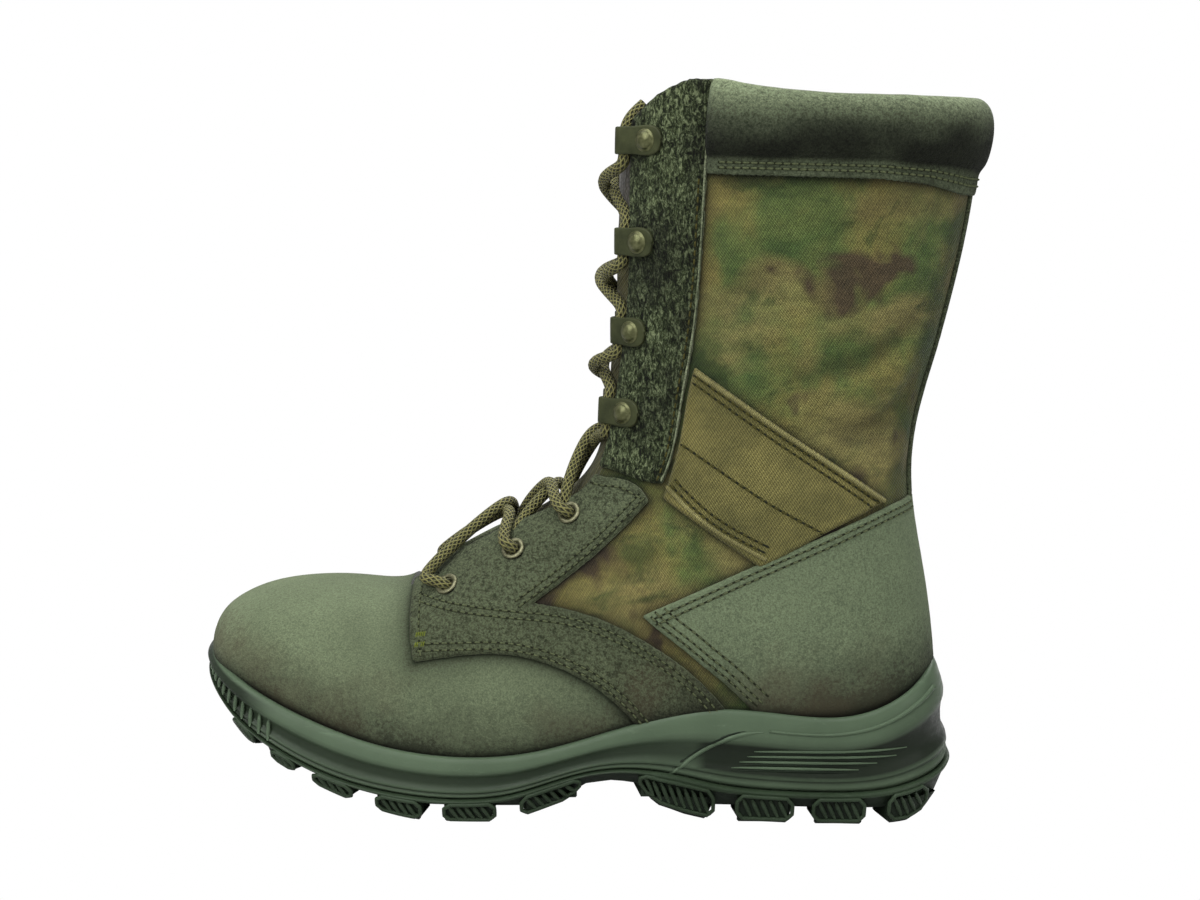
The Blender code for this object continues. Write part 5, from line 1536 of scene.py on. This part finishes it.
def side_detail(a, b, side):
    """The raised frame and the slanting ribs on a lug's side."""
    parts = []
    length = b - a
    if length < 7 or a < -250 or b > 36:
        return parts
    inset = 1.6
    corners = [
        (a + inset, 0.30), (a + inset + 2.2, 0.12), (b - inset - 2.2, 0.12), (b - inset, 0.30),
        (b - inset, 0.62), (b - inset - 2.2, 0.82), (a + inset + 2.2, 0.82), (a + inset, 0.62),
    ]
    ring = []
    for (x0, s0), (x1, s1) in zip(corners, corners[1:] + corners[:1]):
        for t in np.linspace(0, 1, 5)[:-1]:
            ring.append((x0 + (x1 - x0) * t, s0 + (s1 - s0) * t))
    ring = np.array(ring)
    path = side_place(ring[:, 0], ring[:, 1], side, 0.0)
    parts.append(tube(path, 0.80, 8, closed=True))
    ribs = max(2, int(round((length - 6.5) / 3.3)))
    for k in range(ribs):
        middle = a + 3.6 + (length - 7.2) * (k + 0.5) / ribs
        t = np.linspace(-1, 1, 5)
        xs = middle + 1.7 * t
        share = 0.47 - 0.27 * t
        path = side_place(xs, share, side, -0.05)
        parts.append(tube(path, np.array([0.5, 0.85, 0.9, 0.85, 0.5]), 6))
    return parts


make_outsole()


# Moulded details of the midsole
def mid_place(x, share, side, out=0.0):
    """A point on the midsole's side."""
    loop = MID_RINGS
    shares = np.array([0.00, 0.03, 0.07, 0.10, 0.125, 0.15, 0.20, 0.24, 0.34, 0.45, 0.54, 0.59,
                       0.64, 0.72, 0.86, 0.94, 0.985, 1.00])
    points = []
    for ring in loop[:18]:
        part = ring[:STATIONS] if side < 0 else np.vstack([ring[0:1], ring[STATIONS - 1:][::-1]])
        part = part[np.argsort(part[:, 0])]
        points.append(np.stack([np.interp(x, part[:, 0], part[:, axis]) for axis in (0, 1, 2)], axis=-1))
    points = np.array(points)
    place = np.array([[np.interp(s, shares, points[:, i, axis]) for axis in range(3)]
                      for i, s in enumerate(np.atleast_1d(share))])
    place[:, 1] += side * out
    return place


def place_at_z(x, z, side, out=0.0):
    """A point on the midsole's side at a height."""
    low, high = soft_table(PARTING, x), soft_table(RIM, x)
    return mid_place(x, np.clip((z - low) / (high - low), 0, 1), side, out)


HEEL_FINS = [  # heights and places of both ends
    (28.4, 30.2, -39.5, 19.5), (26.2, 27.3, -42.0, 15.5), (24.0, 24.6, -45.0, 8.0), (21.8, 22.0, -48.0, 1.0),
]
STABILISER = [(-72, 18.5), (-65, 24), (-57, 30), (-50, 34.0), (-43, 36.0), (-36, 36.5)]
KICK_LINE = [(-34, 37.0), (-16, 35.5), (0, 37.0), (12, 41.0), (22, 46.5), (30, 52.0)]


def make_sole_details():
    """Fins, lines and teeth on the sole's side, and dark tubes of painted shade beside the fins and the arm.
    """
    parts, dark = [], []
    for side in (-1, 1):
        # four long grooves on the heel, drawn as raised fins with painted shade between them, as dark tubes
        # set lower
        for z0, z1, x0, x1 in HEEL_FINS:
            xs = np.linspace(x0, x1, 30)
            zs = np.linspace(z0, z1, 30)
            radius = 0.62 * np.clip(np.sin(np.linspace(0.12, math.pi - 0.05, 30)), 0.12, 1.0) ** 0.5
            parts.append(tube(place_at_z(xs, zs, side, 0.16), radius, 8))
            dark.append(tube(place_at_z(xs - 0.4, zs - 1.1, side, -0.22), radius * 1.15, 8))
        # the stabiliser arm rises from the waist to the heel as a soft step, with a painted shadow line
        # beneath it
        line = spline(STABILISER, np.linspace(0, 5, 40))
        taper = np.clip(np.sin(np.linspace(0.25, math.pi - 0.1, 40)), 0.2, 1.0) ** 0.5
        parts.append(tube(place_at_z(line[:, 0], line[:, 1], side, -0.35), 1.0 * taper, 8))
        dark.append(tube(place_at_z(line[:, 0] - 0.9, line[:, 1] + 0.9, side, -0.62), 0.85 * taper, 8))
        # kick line: a bead that climbs round the heel
        line = spline(KICK_LINE, np.linspace(0, 5, 50))
        parts.append(tube(place_at_z(line[:, 0], line[:, 1], side, 0.0), np.linspace(0.5, 1.1, 50), 8))
    # toe bumper: small saw teeth round the tip
    loop = shifted(sole_loop(STATIONS, 0.2), 1.2, 0.0)
    order = np.argsort(np.arctan2(loop[:, 1] - 6.0, -(loop[:, 0] + 205.0)))
    tip = loop[order]
    tip = tip[tip[:, 0] < -226.0]
    run = np.concatenate([[0], np.cumsum(np.linalg.norm(np.diff(tip, axis=0), axis=1))])
    for at in np.arange(1.0, run[-1], 4.2):
        x = np.interp(at, run, tip[:, 0])
        y = np.interp(at, run, tip[:, 1])
        ahead = np.array([np.interp(at + 1, run, tip[:, 0]) - x, np.interp(at + 1, run, tip[:, 1]) - y])
        ahead /= max(np.linalg.norm(ahead), 1e-6)
        out = np.array([ahead[1], -ahead[0]])
        if out @ np.array([x + 205.0, y - 6.0]) < 0:
            out = -out
        low, high = float(soft_table(PARTING, x)), float(soft_table(RIM, x))
        base = np.array([x, y])
        zs = np.linspace(low + 0.5, low + 0.58 * (high - low), 5)
        path = [(*(base - out * (0.9 + 0.25 * i)), z) for i, z in enumerate(zs)]
        parts.append(tube(np.array(path), np.array([0.5, 0.9, 0.9, 0.8, 0.3]), 6))
    points, faces = join_parts(parts)
    obj = add_mesh("sole_mouldings", points, faces, [MIDSOLE])
    stand_for(obj, [])
    # The dark tubes are painted shade in the recesses.
    points, faces = join_parts(dark)
    recess = add_mesh("sole_recess_shade", points, faces, [LUG_SHADE])
    stand_for(recess, [])


make_sole_details()


# Seams
def tree_of(objects):
    """A tree of an object's faces for casting rays."""
    points, faces = [], []
    base = 0
    for obj in objects:
        mesh = obj.data
        co = np.zeros(len(mesh.vertices) * 3)
        mesh.vertices.foreach_get("co", co)
        points.append(co.reshape(-1, 3))
        faces += [tuple(i + base for i in polygon.vertices) for polygon in mesh.polygons]
        base += len(mesh.vertices)
    return BVHTree.FromPolygons(np.vstack(points).tolist(), faces)


def dropped(tree, line, side):
    """Points of a side line on a skin, with their normals, in millimetres."""
    hits = []
    for x, z in line:
        start = Vector((x * MM, side * 0.09, z * MM))
        place, normal, _, _ = tree.ray_cast(start, Vector((0, -side, 0)), 0.12)
        if place is not None:
            if normal.y * side < 0:
                normal = -normal
            hits.append((np.array(place) / MM, np.array(normal)))
    return hits


def resample(line, step):
    """The line with even steps."""
    line = np.asarray(line, float)
    run = np.concatenate([[0], np.cumsum(np.linalg.norm(np.diff(line, axis=0), axis=1))])
    at = np.arange(0, run[-1], step)
    return np.stack([np.interp(at, run, line[:, axis]) for axis in range(line.shape[1])], axis=1)


def stitch_parts(hits, length=2.7, gap=0.7, radius=0.40, sink=0.04):
    """Short thread bars along dropped points, dipping at both ends."""
    if len(hits) < 3:
        return []
    places = np.array([hit[0] for hit in hits])
    normals = np.array([hit[1] for hit in hits])
    run = np.concatenate([[0], np.cumsum(np.linalg.norm(np.diff(places, axis=0), axis=1))])
    parts = []
    at = 0.4
    while at + length < run[-1]:
        t = np.linspace(at, at + length, 5)
        path = np.stack([np.interp(t, run, places[:, axis]) for axis in range(3)], axis=1)
        out = np.stack([np.interp(t, run, normals[:, axis]) for axis in range(3)], axis=1)
        if np.abs(np.diff(path, axis=0)).max() < 3.0:
            lift = np.array([-0.35, 0.10, 0.20, 0.10, -0.35]) + radius * 0.35 - sink
            parts.append(tube(path + out * lift[:, None], radius * np.array([0.7, 1, 1, 1, 0.7]), 6))
        at += length + gap
    return parts


def offset_open(line, distance, per=10):
    """An open smooth line moved to its left by a distance."""
    line = spline(line, np.linspace(0, len(line) - 1, per * len(line)))
    ahead = np.gradient(line, axis=0)
    ahead /= np.maximum(np.linalg.norm(ahead, axis=1, keepdims=True), 1e-9)
    return line + distance * np.stack([-ahead[:, 1], ahead[:, 0]], axis=1)


SEAMS = [  # skin, line as x, z, steps to the left of it, thread
    ("facing", [(-170, 62), (-151, 64), (-137, 65), (-123, 63), (-109, 57.5), (-99, 51.5), (-90, 43.5),
                (-83, 35)], (2.2, 4.6), "light"),
    ("facing", [(-48, 38.5), (-53, 46.5), (-59.5, 54), (-68, 61), (-76, 66.5), (-89, 74), (-101, 79),
                (-114, 82), (-128, 82.6), (-150, 83.5), (-172, 85)], (2.4, 4.8), "light"),
    ("facing", [(-130, 80), (-126, 83), (-114, 92), (-102, 102), (-93, 111), (-82.5, 123)], (2.4, 4.8),
     "light"),
    ("facing", [(-84.5, 126.5), (-94, 131), (-101, 129.5), (-108, 131)], (2.6,), "light"),
    ("facing", [(-174, 94), (-173.5, 84), (-172.5, 72), (-170, 62)], (2.0,), "light"),
    ("counter", [(34, 126), (22, 125.5), (11, 124.5), (-3, 119), (-16, 113), (-30, 106.5), (-43, 100),
                 (-56, 93.5), (-70, 86.5), (-81, 81)], (2.2, 4.6), "light"),
    ("counter", [(-82, 78.5), (-76, 73.5), (-68, 68), (-60.5, 61.5), (-53, 56), (-46, 49.5), (-40, 44)],
     (2.2, 4.6, 8.0), "light"),
    ("webbing", [(8, 126), (-11, 139.5), (-32, 152.5), (-52, 166), (-66.5, 175.5)], (2.6, 5.2), "dark"),
    ("webbing", [(-76.5, 128.5), (-69, 121), (-57, 112), (-38.5, 103.5)], (2.6, 5.2), "dark"),
    ("webbing", [(-71, 146), (-58, 138), (-44, 129), (-30, 121), (-15, 113.5)], (0.0,), "dark"),
    ("strip", [(-77.5, 130), (-74.5, 138), (-72, 150), (-70.5, 165), (-67.5, 182), (-65.5, 204),
               (-64.5, 246)], (2.6,), "dark"),
]


def make_piping():
    """The folded edges of the ankle bands."""
    parts = []
    for side in (-1, 1):
        tree = tree_of([overlays["webbing", side]])
        for line, distance in (
            ([(9, 125.5), (-11, 139.5), (-32, 152.5), (-52, 166), (-68, 176)], 0.9),
            ([(-76.5, 128.5), (-69, 121), (-57, 112), (-37.5, 102.5)], 0.9),
        ):
            hits = dropped(tree, resample(offset_open(line, distance), 0.8), side)
            if len(hits) < 6:
                continue
            places = np.array([hit[0] for hit in hits])
            normals = np.array([hit[1] for hit in hits])
            breaks = np.flatnonzero(np.linalg.norm(np.diff(places, axis=0), axis=1) > 2.5) + 1
            for part in np.split(np.arange(len(hits)), breaks):
                if len(part) > 6:
                    parts.append(tube(places[part] - normals[part] * 0.15, 0.85, 8))
    points, faces = join_parts(parts)
    # The folds take the lighter twill: painted highlight.
    obj = add_mesh("webbing_folds", points, faces, [WEB_FOLD_HIGHLIGHT])
    stand_for(obj, [])
    raw = []
    for side in (-1, 1):
        tree = tree_of([overlays["strip", side]])
        line = offset_open([(-77.5, 131), (-74.5, 138), (-72, 150), (-70.5, 165), (-67.5, 182), (-65.5, 204),
                            (-64.5, 240), (-63.6, 274)], 0.75)
        hits = dropped(tree, resample(line, 0.8), side)
        places = np.array([hit[0] for hit in hits])
        normals = np.array([hit[1] for hit in hits])
        wavy = 0.42 + 0.14 * noise(places, 3.0)
        raw.append(tube(places - normals * 0.05, wavy, 8))
    points, faces = join_parts(raw)
    obj = add_mesh("strip_raw_edges", points, faces, [RAW_EDGE])
    stand_for(obj, [])


make_piping()


def make_stitches():
    """Threads of all seams, the painted shadow lines under them and the bar tacks."""
    threads = {"light": [], "dark": []}
    shadow = []
    for side in (-1, 1):
        trees = {name: tree_of([overlays[name, side]]) for name in ("facing", "strip", "webbing")}
        trees["counter"] = tree_of([overlays["counter", 0]])
        for name, line, steps, kind in SEAMS:
            for step in steps:
                moved = resample(offset_open(line, step), 0.6)
                hits = dropped(trees[name], moved, side)
                if len(hits) < 6:
                    continue
                places = np.array([hit[0] for hit in hits])
                normals = np.array([hit[1] for hit in hits])
                breaks = np.flatnonzero(np.linalg.norm(np.diff(places, axis=0), axis=1) > 2.5) + 1
                for part in np.split(np.arange(len(hits)), breaks):
                    if len(part) < 6:
                        continue
                    run = [hits[i] for i in part]
                    threads[kind].extend(stitch_parts(run, length=2.3, gap=0.95, radius=0.36))
                    shadow.append(tube(places[part] - normals[part] * 0.50, 0.68, 8))
    # the chain seam on the cuff's flange
    ring = CUFF_RINGS
    centre = ring.mean(axis=1)
    for wanted in (249.2, 251.2):
        level = int(np.argmin(np.abs(CUFF_LINE[:40, 0] - wanted)))
        places = ring[:, level]
        out = normals_of(ring, closed=False)[:, level]
        if ((places - centre) * out).sum() < 0:
            out = -out
        hits = [(p, n) for p, n in zip(places[3:-3], out[3:-3])]
        threads["light"].extend(stitch_parts(hits, length=2.4, gap=0.6, radius=0.42, sink=-0.05))
        shadow.append(tube(places[3:-3] - out[3:-3] * 0.3, 0.6, 6))
    for name, parts, material in (("seams_light", threads["light"], THREAD),
                                  ("seams_dark", threads["dark"], DARK_THREAD),
                                  ("seam_shadows", shadow, SEAM_SHADOW_LINES)):
        points, faces = join_parts(parts)
        obj = add_mesh(name, points, faces, [material])
        stand_for(obj, [])
    tack = []
    for side in (-1, 1):
        tree = tree_of([overlays["facing", side]])
        for k in range(5):
            x = -170.6 + k * 0.8
            for z in (65.2, 68.6):
                line = [(x - 0.3, z + 0.1 * k), (x, z + 1.6 + 0.1 * k), (x + 0.2, z + 3.1)]
                hits = dropped(tree, resample(line, 0.4), side)
                tack.extend(stitch_parts(hits, length=2.4, gap=1.0, radius=0.26))
    if tack:
        points, faces = join_parts(tack)
        obj = add_mesh("bar_tacks", points, faces, [TACK_THREAD])
        stand_for(obj, [])


make_stitches()


# Lace hardware
def form_frame(x, z, side):
    """Place on the form seen from the side at x, z, its normal, and the way to the throat."""
    half = (GRID_C > 1.0) & (GRID_C < 11.5) if side < 0 else (GRID_C > 12.5) & (GRID_C < 23.0)
    gap = np.hypot(BASE[:, :, 0] - x, BASE[:, :, 2] - z)
    gap = np.where(half[None, :], gap, 1e9)
    i, k = np.unravel_index(np.argmin(gap), gap.shape)
    out = BASE_N[i, k]
    forward = np.cross((0.0, 0.0, 1.0), out)
    forward = forward / np.linalg.norm(forward) * side
    if forward[0] > 0:
        forward = -forward
    across = np.cross(out, forward)
    start = BASE[i, k]
    fix = np.array([x, start[1], z]) - start
    place = start + fix - out * (fix @ out)
    return place, forward, across, out


def lathe(profile, place, forward, across, out, steps=40, close=False):
    """A profile of radius and height turned round an axis."""
    points = []
    turn = np.linspace(0, 2 * math.pi, steps, endpoint=False)
    for radius, height in profile:
        ring = place + out * height + radius * (
            np.cos(turn)[:, None] * forward + np.sin(turn)[:, None] * across)
        points.append(ring)
    return np.vstack(points), ring_faces(len(profile), steps, close)


EYELET_FRAMES = {}
LOOP_FRAMES = {}


def make_eyelets():
    """A turned ring and wall for each eyelet."""
    ring = []
    for turn in np.linspace(0, 2 * math.pi, 14, endpoint=False):
        ring.append((3.75 + 0.95 * math.cos(turn), 2.25 + 0.62 * math.sin(turn)))
    wall = [(2.75, 2.1), (2.55, 1.4), (2.5, -1.0), (2.8, -1.8), (3.1, -1.8), (3.0, 1.4)]
    for side, word in ((-1, "outer"), (1, "inner")):
        for number, (x, z) in enumerate(EYELETS, start=1):
            place, forward, across, out = form_frame(x, z, side)
            EYELET_FRAMES[side, number] = (place, forward, across, out)
            parts = [lathe(ring, place, forward, across, out, 44, True),
                     lathe(wall, place, forward, across, out, 44, True)]
            points, faces = join_parts([orient(part) for part in parts])
            obj = add_mesh(f"eyelet_ring_{word}_{number}", points, faces, [METAL])
            stand_for(obj, [f"eyelet_{word}_{number}"])


def tab_outline(reach):
    """Half widths of the loop's tab along its length, from behind the rivet to the fold."""
    return [(-7.4, 0.6), (-7.0, 2.6), (-6.0, 4.0), (-4.2, 5.1), (-1.5, 5.6), (1.5, 5.5), (4.5, 5.2),
            (reach, 5.1)]


RIVET_DOME = [  # radius and height
    (0.01, 2.35), (1.1, 2.25), (2.1, 1.95), (2.9, 1.4), (3.35, 0.7), (3.5, 0.25), (4.15, 0.18), (4.3, 0.0),
    (4.2, -0.25),
]
TAB_SECTION = [  # share of the half width and of the thickness, round the strip
    (-1, 0), (-1, 0.6), (-0.96, 0.92), (-0.86, 1.0), (-0.4, 1.02), (0.4, 1.02), (0.86, 1.0), (0.96, 0.92),
    (1, 0.6), (1, 0), (0.5, 0), (-0.5, 0),
]


def make_loops():
    """A folded tab and a domed rivet for each lace loop."""
    for side, word in ((-1, "outer"), (1, "inner")):
        edge_line = sample(FORM, GRID_U, np.full(len(GRID_U), 1.0 if side < 0 else 23.0))
        for number, (x, z) in enumerate(RIVETS, start=1):
            place, forward, across, out = form_frame(x, z, side)
            seat = 2.5
            edge_at = np.array([np.interp(z, edge_line[:, 2], edge_line[:, axis]) for axis in range(3)])
            ahead = (edge_at - place) @ forward
            bore, thick = 2.5, 1.3
            reach = ahead + 0.3 + bore + 1.2
            LOOP_FRAMES[side, number] = (place, forward, across, out, reach, seat - bore + 0.3)
            centre = np.array([reach, seat - bore + 0.2])
            line = [(s, seat) for s in np.linspace(-7.4, reach, 22)]
            for a in np.linspace(90, -160, 24)[1:]:
                line.append((centre[0] + bore * math.cos(math.radians(a)),
                             centre[1] + bore * math.sin(math.radians(a))))
            line = np.array(line)
            run = np.concatenate([[0], np.cumsum(np.linalg.norm(np.diff(line, axis=0), axis=1))])
            half_rows = np.array(tab_outline(reach))
            widths = np.interp(run - 7.4, half_rows[:, 0], half_rows[:, 1])
            direction = np.gradient(line, axis=0)
            direction /= np.linalg.norm(direction, axis=1, keepdims=True)
            up = np.stack([-direction[:, 1], direction[:, 0]], axis=1)
            rings = []
            for (px, pz), (ux, uz), w in zip(line, up, widths):
                row = []
                for wy, h in TAB_SECTION:
                    dish = -0.35 if (px < 4 and abs(wy) < 0.5 and h > 0.9) else 0.0
                    q = (px + ux * (thick * h + dish * 0.2), pz + uz * (thick * h + dish * 0.2))
                    row.append(place + forward * q[0] + out * q[1] + across * wy * w)
                rings.append(row)
            rings = np.array(rings)
            rows, cols = rings.shape[:2]
            faces = ring_faces(rows, cols)
            faces.append(tuple(range(cols)))
            faces.append(tuple(range((rows - 1) * cols + cols - 1, (rows - 1) * cols - 1, -1)))
            points, faces = orient((rings.reshape(-1, 3), faces))
            obj = add_mesh(f"loop_tab_{word}_{number}", points, faces, [TAB])
            stand_for(obj, [f"loop_{word}_{number}"])
            head_at = place + out * (seat + thick)
            points, faces = orient(lathe(RIVET_DOME, head_at, forward, across, out, 40))
            head = add_mesh(f"rivet_head_{word}_{number}", points, faces, [RIVET_METAL])
            stand_for(head, [f"rivet_{word}_{number}"])


make_eyelets()
make_loops()


# The threaded lace
CORD_STEP = 0.8


def cord_mesh(control, radius=2.35, sides=14):
    """A round cord along a smooth line through control points, and its length."""
    path = spline(control, np.linspace(0, len(control) - 1, len(control) * 14))
    path = resample(path, CORD_STEP)
    length = np.linalg.norm(np.diff(path, axis=0), axis=1).sum()
    points, faces = tube(path, radius, sides, caps=True)
    count = len(path)
    uvs = []
    run = np.arange(count) * CORD_STEP / (2 * radius)
    for i in range(count):
        for k in range(sides):
            share = k / sides
            uvs.append((run[i], 2 * abs(share - 0.5)))
    return points, faces, uvs, length


LACE_OVER = 5.6  # height of the cord's middle over the form, beside an eyelet
LACE_BESIDE = 3.4  # how far beside the eyelet it lies there


def lace_route(lead):
    """Control points of one half of the lace, from the lowest eyelet to the top loop."""
    route = []
    side = lead

    def front(u, up):
        """A point over the tongue on the centre line at section number u."""
        place = sample(BASE, np.array([u]), np.array([0.0]))[0]
        normal = sample(BASE_N, np.array([u]), np.array([0.0]))[0]
        return place + normal * up

    def crossing(u, up, target):
        """The point over the centre line, and the one beyond it on the way to the eyelet's frame."""
        goal = target[0] + target[3] * LACE_OVER + target[1] * LACE_BESIDE
        over = front(u, up)
        over[1] = 0.0
        return over, over * 0.42 + goal * 0.58 + target[3] * 2.0

    place, forward, _, out = EYELET_FRAMES[side, 1]
    toe = np.array([-1.0, 0, 0])
    centre = front(7.0, -3.0)
    beside = centre + np.array([0, 3.0 * side, -0.4])
    edge = place + out * 3.2 + forward * 8.4 + toe * 4.0
    route += [centre, beside, centre * 0.4 + (place - out * 3.4) * 0.6, place - out * 1.2,
              place + out * 2.0 + toe * 0.6, place + out * 4.4 + forward * 3.4 + toe * 3.0, edge]
    over, beyond = crossing(8.5, 3.0 if lead > 0 else 6.4, EYELET_FRAMES[-side, 2])
    route += [edge * 0.5 + over * 0.5 + np.array([-0.8, 0, 1.0]), over, beyond]
    side = -side
    for number in (2, 3):
        place, forward, _, out = EYELET_FRAMES[side, number]
        route += [place + out * LACE_OVER + forward * LACE_BESIDE, place + out * 4.6 + forward * 0.2,
                  place + out * 0.5 - forward * 0.2, place - out * 2.5 + forward * 2.5]
        if number == 2:
            here = place - out * 0.5 + forward * 8.0
            over, beyond = crossing(9.4, 2.4 if lead > 0 else 5.6, EYELET_FRAMES[-side, 3])
            route += [here * 0.7 + over * 0.3 + np.array([-0.6, 0, 0.8]), over, beyond]
        side = -side
    previous = EYELET_FRAMES[-side, 3]
    start = previous[0] + previous[1] * 6.5 + np.array([1.5, 0, 5.5])
    route.append(start)
    for number in (1, 2, 3, 4):
        place, forward, _, out, reach, low = LOOP_FRAMES[side, number]
        through = place + forward * reach + out * low
        below = through - np.array([0, 0, 1.0]) * 9.5 - forward * 0.4
        z_mid = through[2] - (16.5 if number > 1 else 12.0)
        column = FORM[:, 0]
        here = np.array([np.interp(z_mid, column[:, 2], column[:, axis]) for axis in range(3)])
        near, far = (0.6, 5.4) if number > 1 else (-1.0, 3.6)
        here = here + toe * (near if lead > 0 else far)
        here[1] = 0.0
        sway = {1: 0.3, 2: 3.5, 3: 5.0, 4: 2.0}[number]
        route += [here, here * 0.35 + below * 0.65 + np.array([-sway, 0, 0.5]), below + out * 0.8,
                  through - np.array([0, 0, 4.2]), through, through + np.array([0, 0, 4.2])]
        route.append(through + np.array([0.6, 0, 9.0]) - forward * 1.0 - out * 1.0)
        side = -side
    side = -side
    place, forward, _, out, reach, _ = LOOP_FRAMES[side, 4]
    end = place + forward * (reach - 5.0) - out * 5.5 + np.array([0, 0, 14.0])
    route.append(end)
    return np.array(route)


def make_lace():
    """Both halves of the lace as one mesh."""
    points_all, faces_all, uvs_all, base = [], [], [], 0
    length = 0.0
    for lead in (-1, 1):
        points, faces, uvs, shown = cord_mesh(lace_route(lead))
        length += shown
        points_all.append(points)
        faces_all += [tuple(i + base for i in face) for face in faces]
        uvs_all += uvs
        base += len(points)
    obj = add_mesh("lace_cord", np.vstack(points_all), faces_all, [CORD], uvs=uvs_all)
    stand_for(obj, ["lace"])
    print("lace shown, mm:", round(length))


make_lace()


# Floor, light and camera
def make_floor():
    """A floor that only the light meets, and a white dome that only the camera sees."""
    mesh = bpy.data.meshes.new("floor")
    size = 3.0
    rings = [(-size, 0.0), (0.9, 0.0), (1.15, 0.02), (1.4, 0.10), (1.6, 0.26), (1.7, 0.5), (1.72, 2.4)]
    points, faces = [], []
    for y, z in rings:
        points += [(-size, y, z - 0.0002), (size, y, z - 0.0002)]
    for i in range(len(rings) - 1):
        faces.append((2 * i, 2 * i + 1, 2 * i + 3, 2 * i + 2))
    mesh.from_pydata(points, [], faces)
    mesh.shade_smooth()
    obj = bpy.data.objects.new("floor", mesh)
    bpy.context.scene.collection.objects.link(obj)
    material, tree, shader = new_material("pale_floor")
    n = Nodes(tree)
    cloud = n.ramp(n.noise(2.0, 2.0), [(0.3, 0.0), (0.7, 1.0)])
    colour = n.mix(cloud, (0.46, 0.46, 0.46), (0.48, 0.48, 0.48))
    n.put(shader.inputs["Base Color"], colour)
    shader.inputs["Roughness"].default_value = 0.9
    mesh.materials.append(material)
    obj.visible_camera = False
    dome = bpy.data.meshes.new("paper")
    ball = bmesh.new()
    bmesh.ops.create_icosphere(ball, subdivisions=4, radius=3.0)
    ball.to_mesh(dome)
    ball.free()
    paper = bpy.data.objects.new("paper", dome)
    bpy.context.scene.collection.objects.link(paper)
    material, tree, shader = new_material("white_paper")
    shader.inputs["Base Color"].default_value = (0, 0, 0, 1)
    shader.inputs["Specular IOR Level"].default_value = 0.0
    shader.inputs["Emission Color"].default_value = (1, 1, 1, 1)
    shader.inputs["Emission Strength"].default_value = 1.0
    paper.data.materials.append(material)
    paper.visible_diffuse = paper.visible_glossy = paper.visible_transmission = paper.visible_shadow = False


def area_light(name, place, target, size, power, colour=(1, 1, 1)):
    """A square light that looks at a target."""
    data = bpy.data.lights.new(name, "AREA")
    data.shape = "RECTANGLE"
    data.size, data.size_y = size
    data.energy = power
    data.color = colour
    obj = bpy.data.objects.new(name, data)
    bpy.context.scene.collection.objects.link(obj)
    obj.location = place
    direction = Vector(target) - Vector(place)
    obj.rotation_euler = direction.to_track_quat("-Z", "Y").to_euler()


def make_stage():
    """Floor, lights and world."""
    make_floor()
    middle = (-0.11, 0.0, 0.12)
    area_light("top_light", (-0.30, -0.42, 1.20), middle, (1.1, 0.9), 17.5)
    area_light("front_light", (-0.75, -1.05, 0.80), middle, (0.7, 0.6), 11.0)
    area_light("fill_light", (0.85, -0.75, 0.55), middle, (0.7, 0.7), 4.5)
    area_light("back_light", (0.2, 0.9, 0.9), middle, (1.0, 0.8), 9.0)
    area_light("wall_light", (0.0, 0.75, 1.9), (0.0, 1.72, 0.7), (2.4, 0.6), 26.0)
    world = bpy.data.worlds.new("studio")
    bpy.context.scene.world = world
    world.use_nodes = True
    back = world.node_tree.nodes["Background"]
    back.inputs["Color"].default_value = (1.0, 1.0, 1.0, 1.0)
    back.inputs["Strength"].default_value = 0.55


def make_camera():
    """The photo's camera."""
    eye, target = Vector((-0.0692583, -0.6491092, 0.24)), Vector((-0.10327667, 0.0, 0.13788557))
    ahead = (target - eye).normalized()
    right = ahead.cross(Vector((0, 0, 1))).normalized()
    up = right.cross(ahead)
    roll = math.radians(1.174)
    right_2 = math.cos(roll) * right + math.sin(roll) * up
    up_2 = -math.sin(roll) * right + math.cos(roll) * up
    data = bpy.data.cameras.new("camera")
    data.lens, data.sensor_width = 49.3908, 36.0
    obj = bpy.data.objects.new("camera", data)
    bpy.context.scene.collection.objects.link(obj)
    matrix = Matrix((right_2, up_2, -ahead)).transposed().to_4x4()
    matrix.translation = eye
    obj.matrix_world = matrix
    bpy.context.scene.camera = obj


make_stage()
make_camera()
bpy.context.scene.view_settings.view_transform = "Standard"
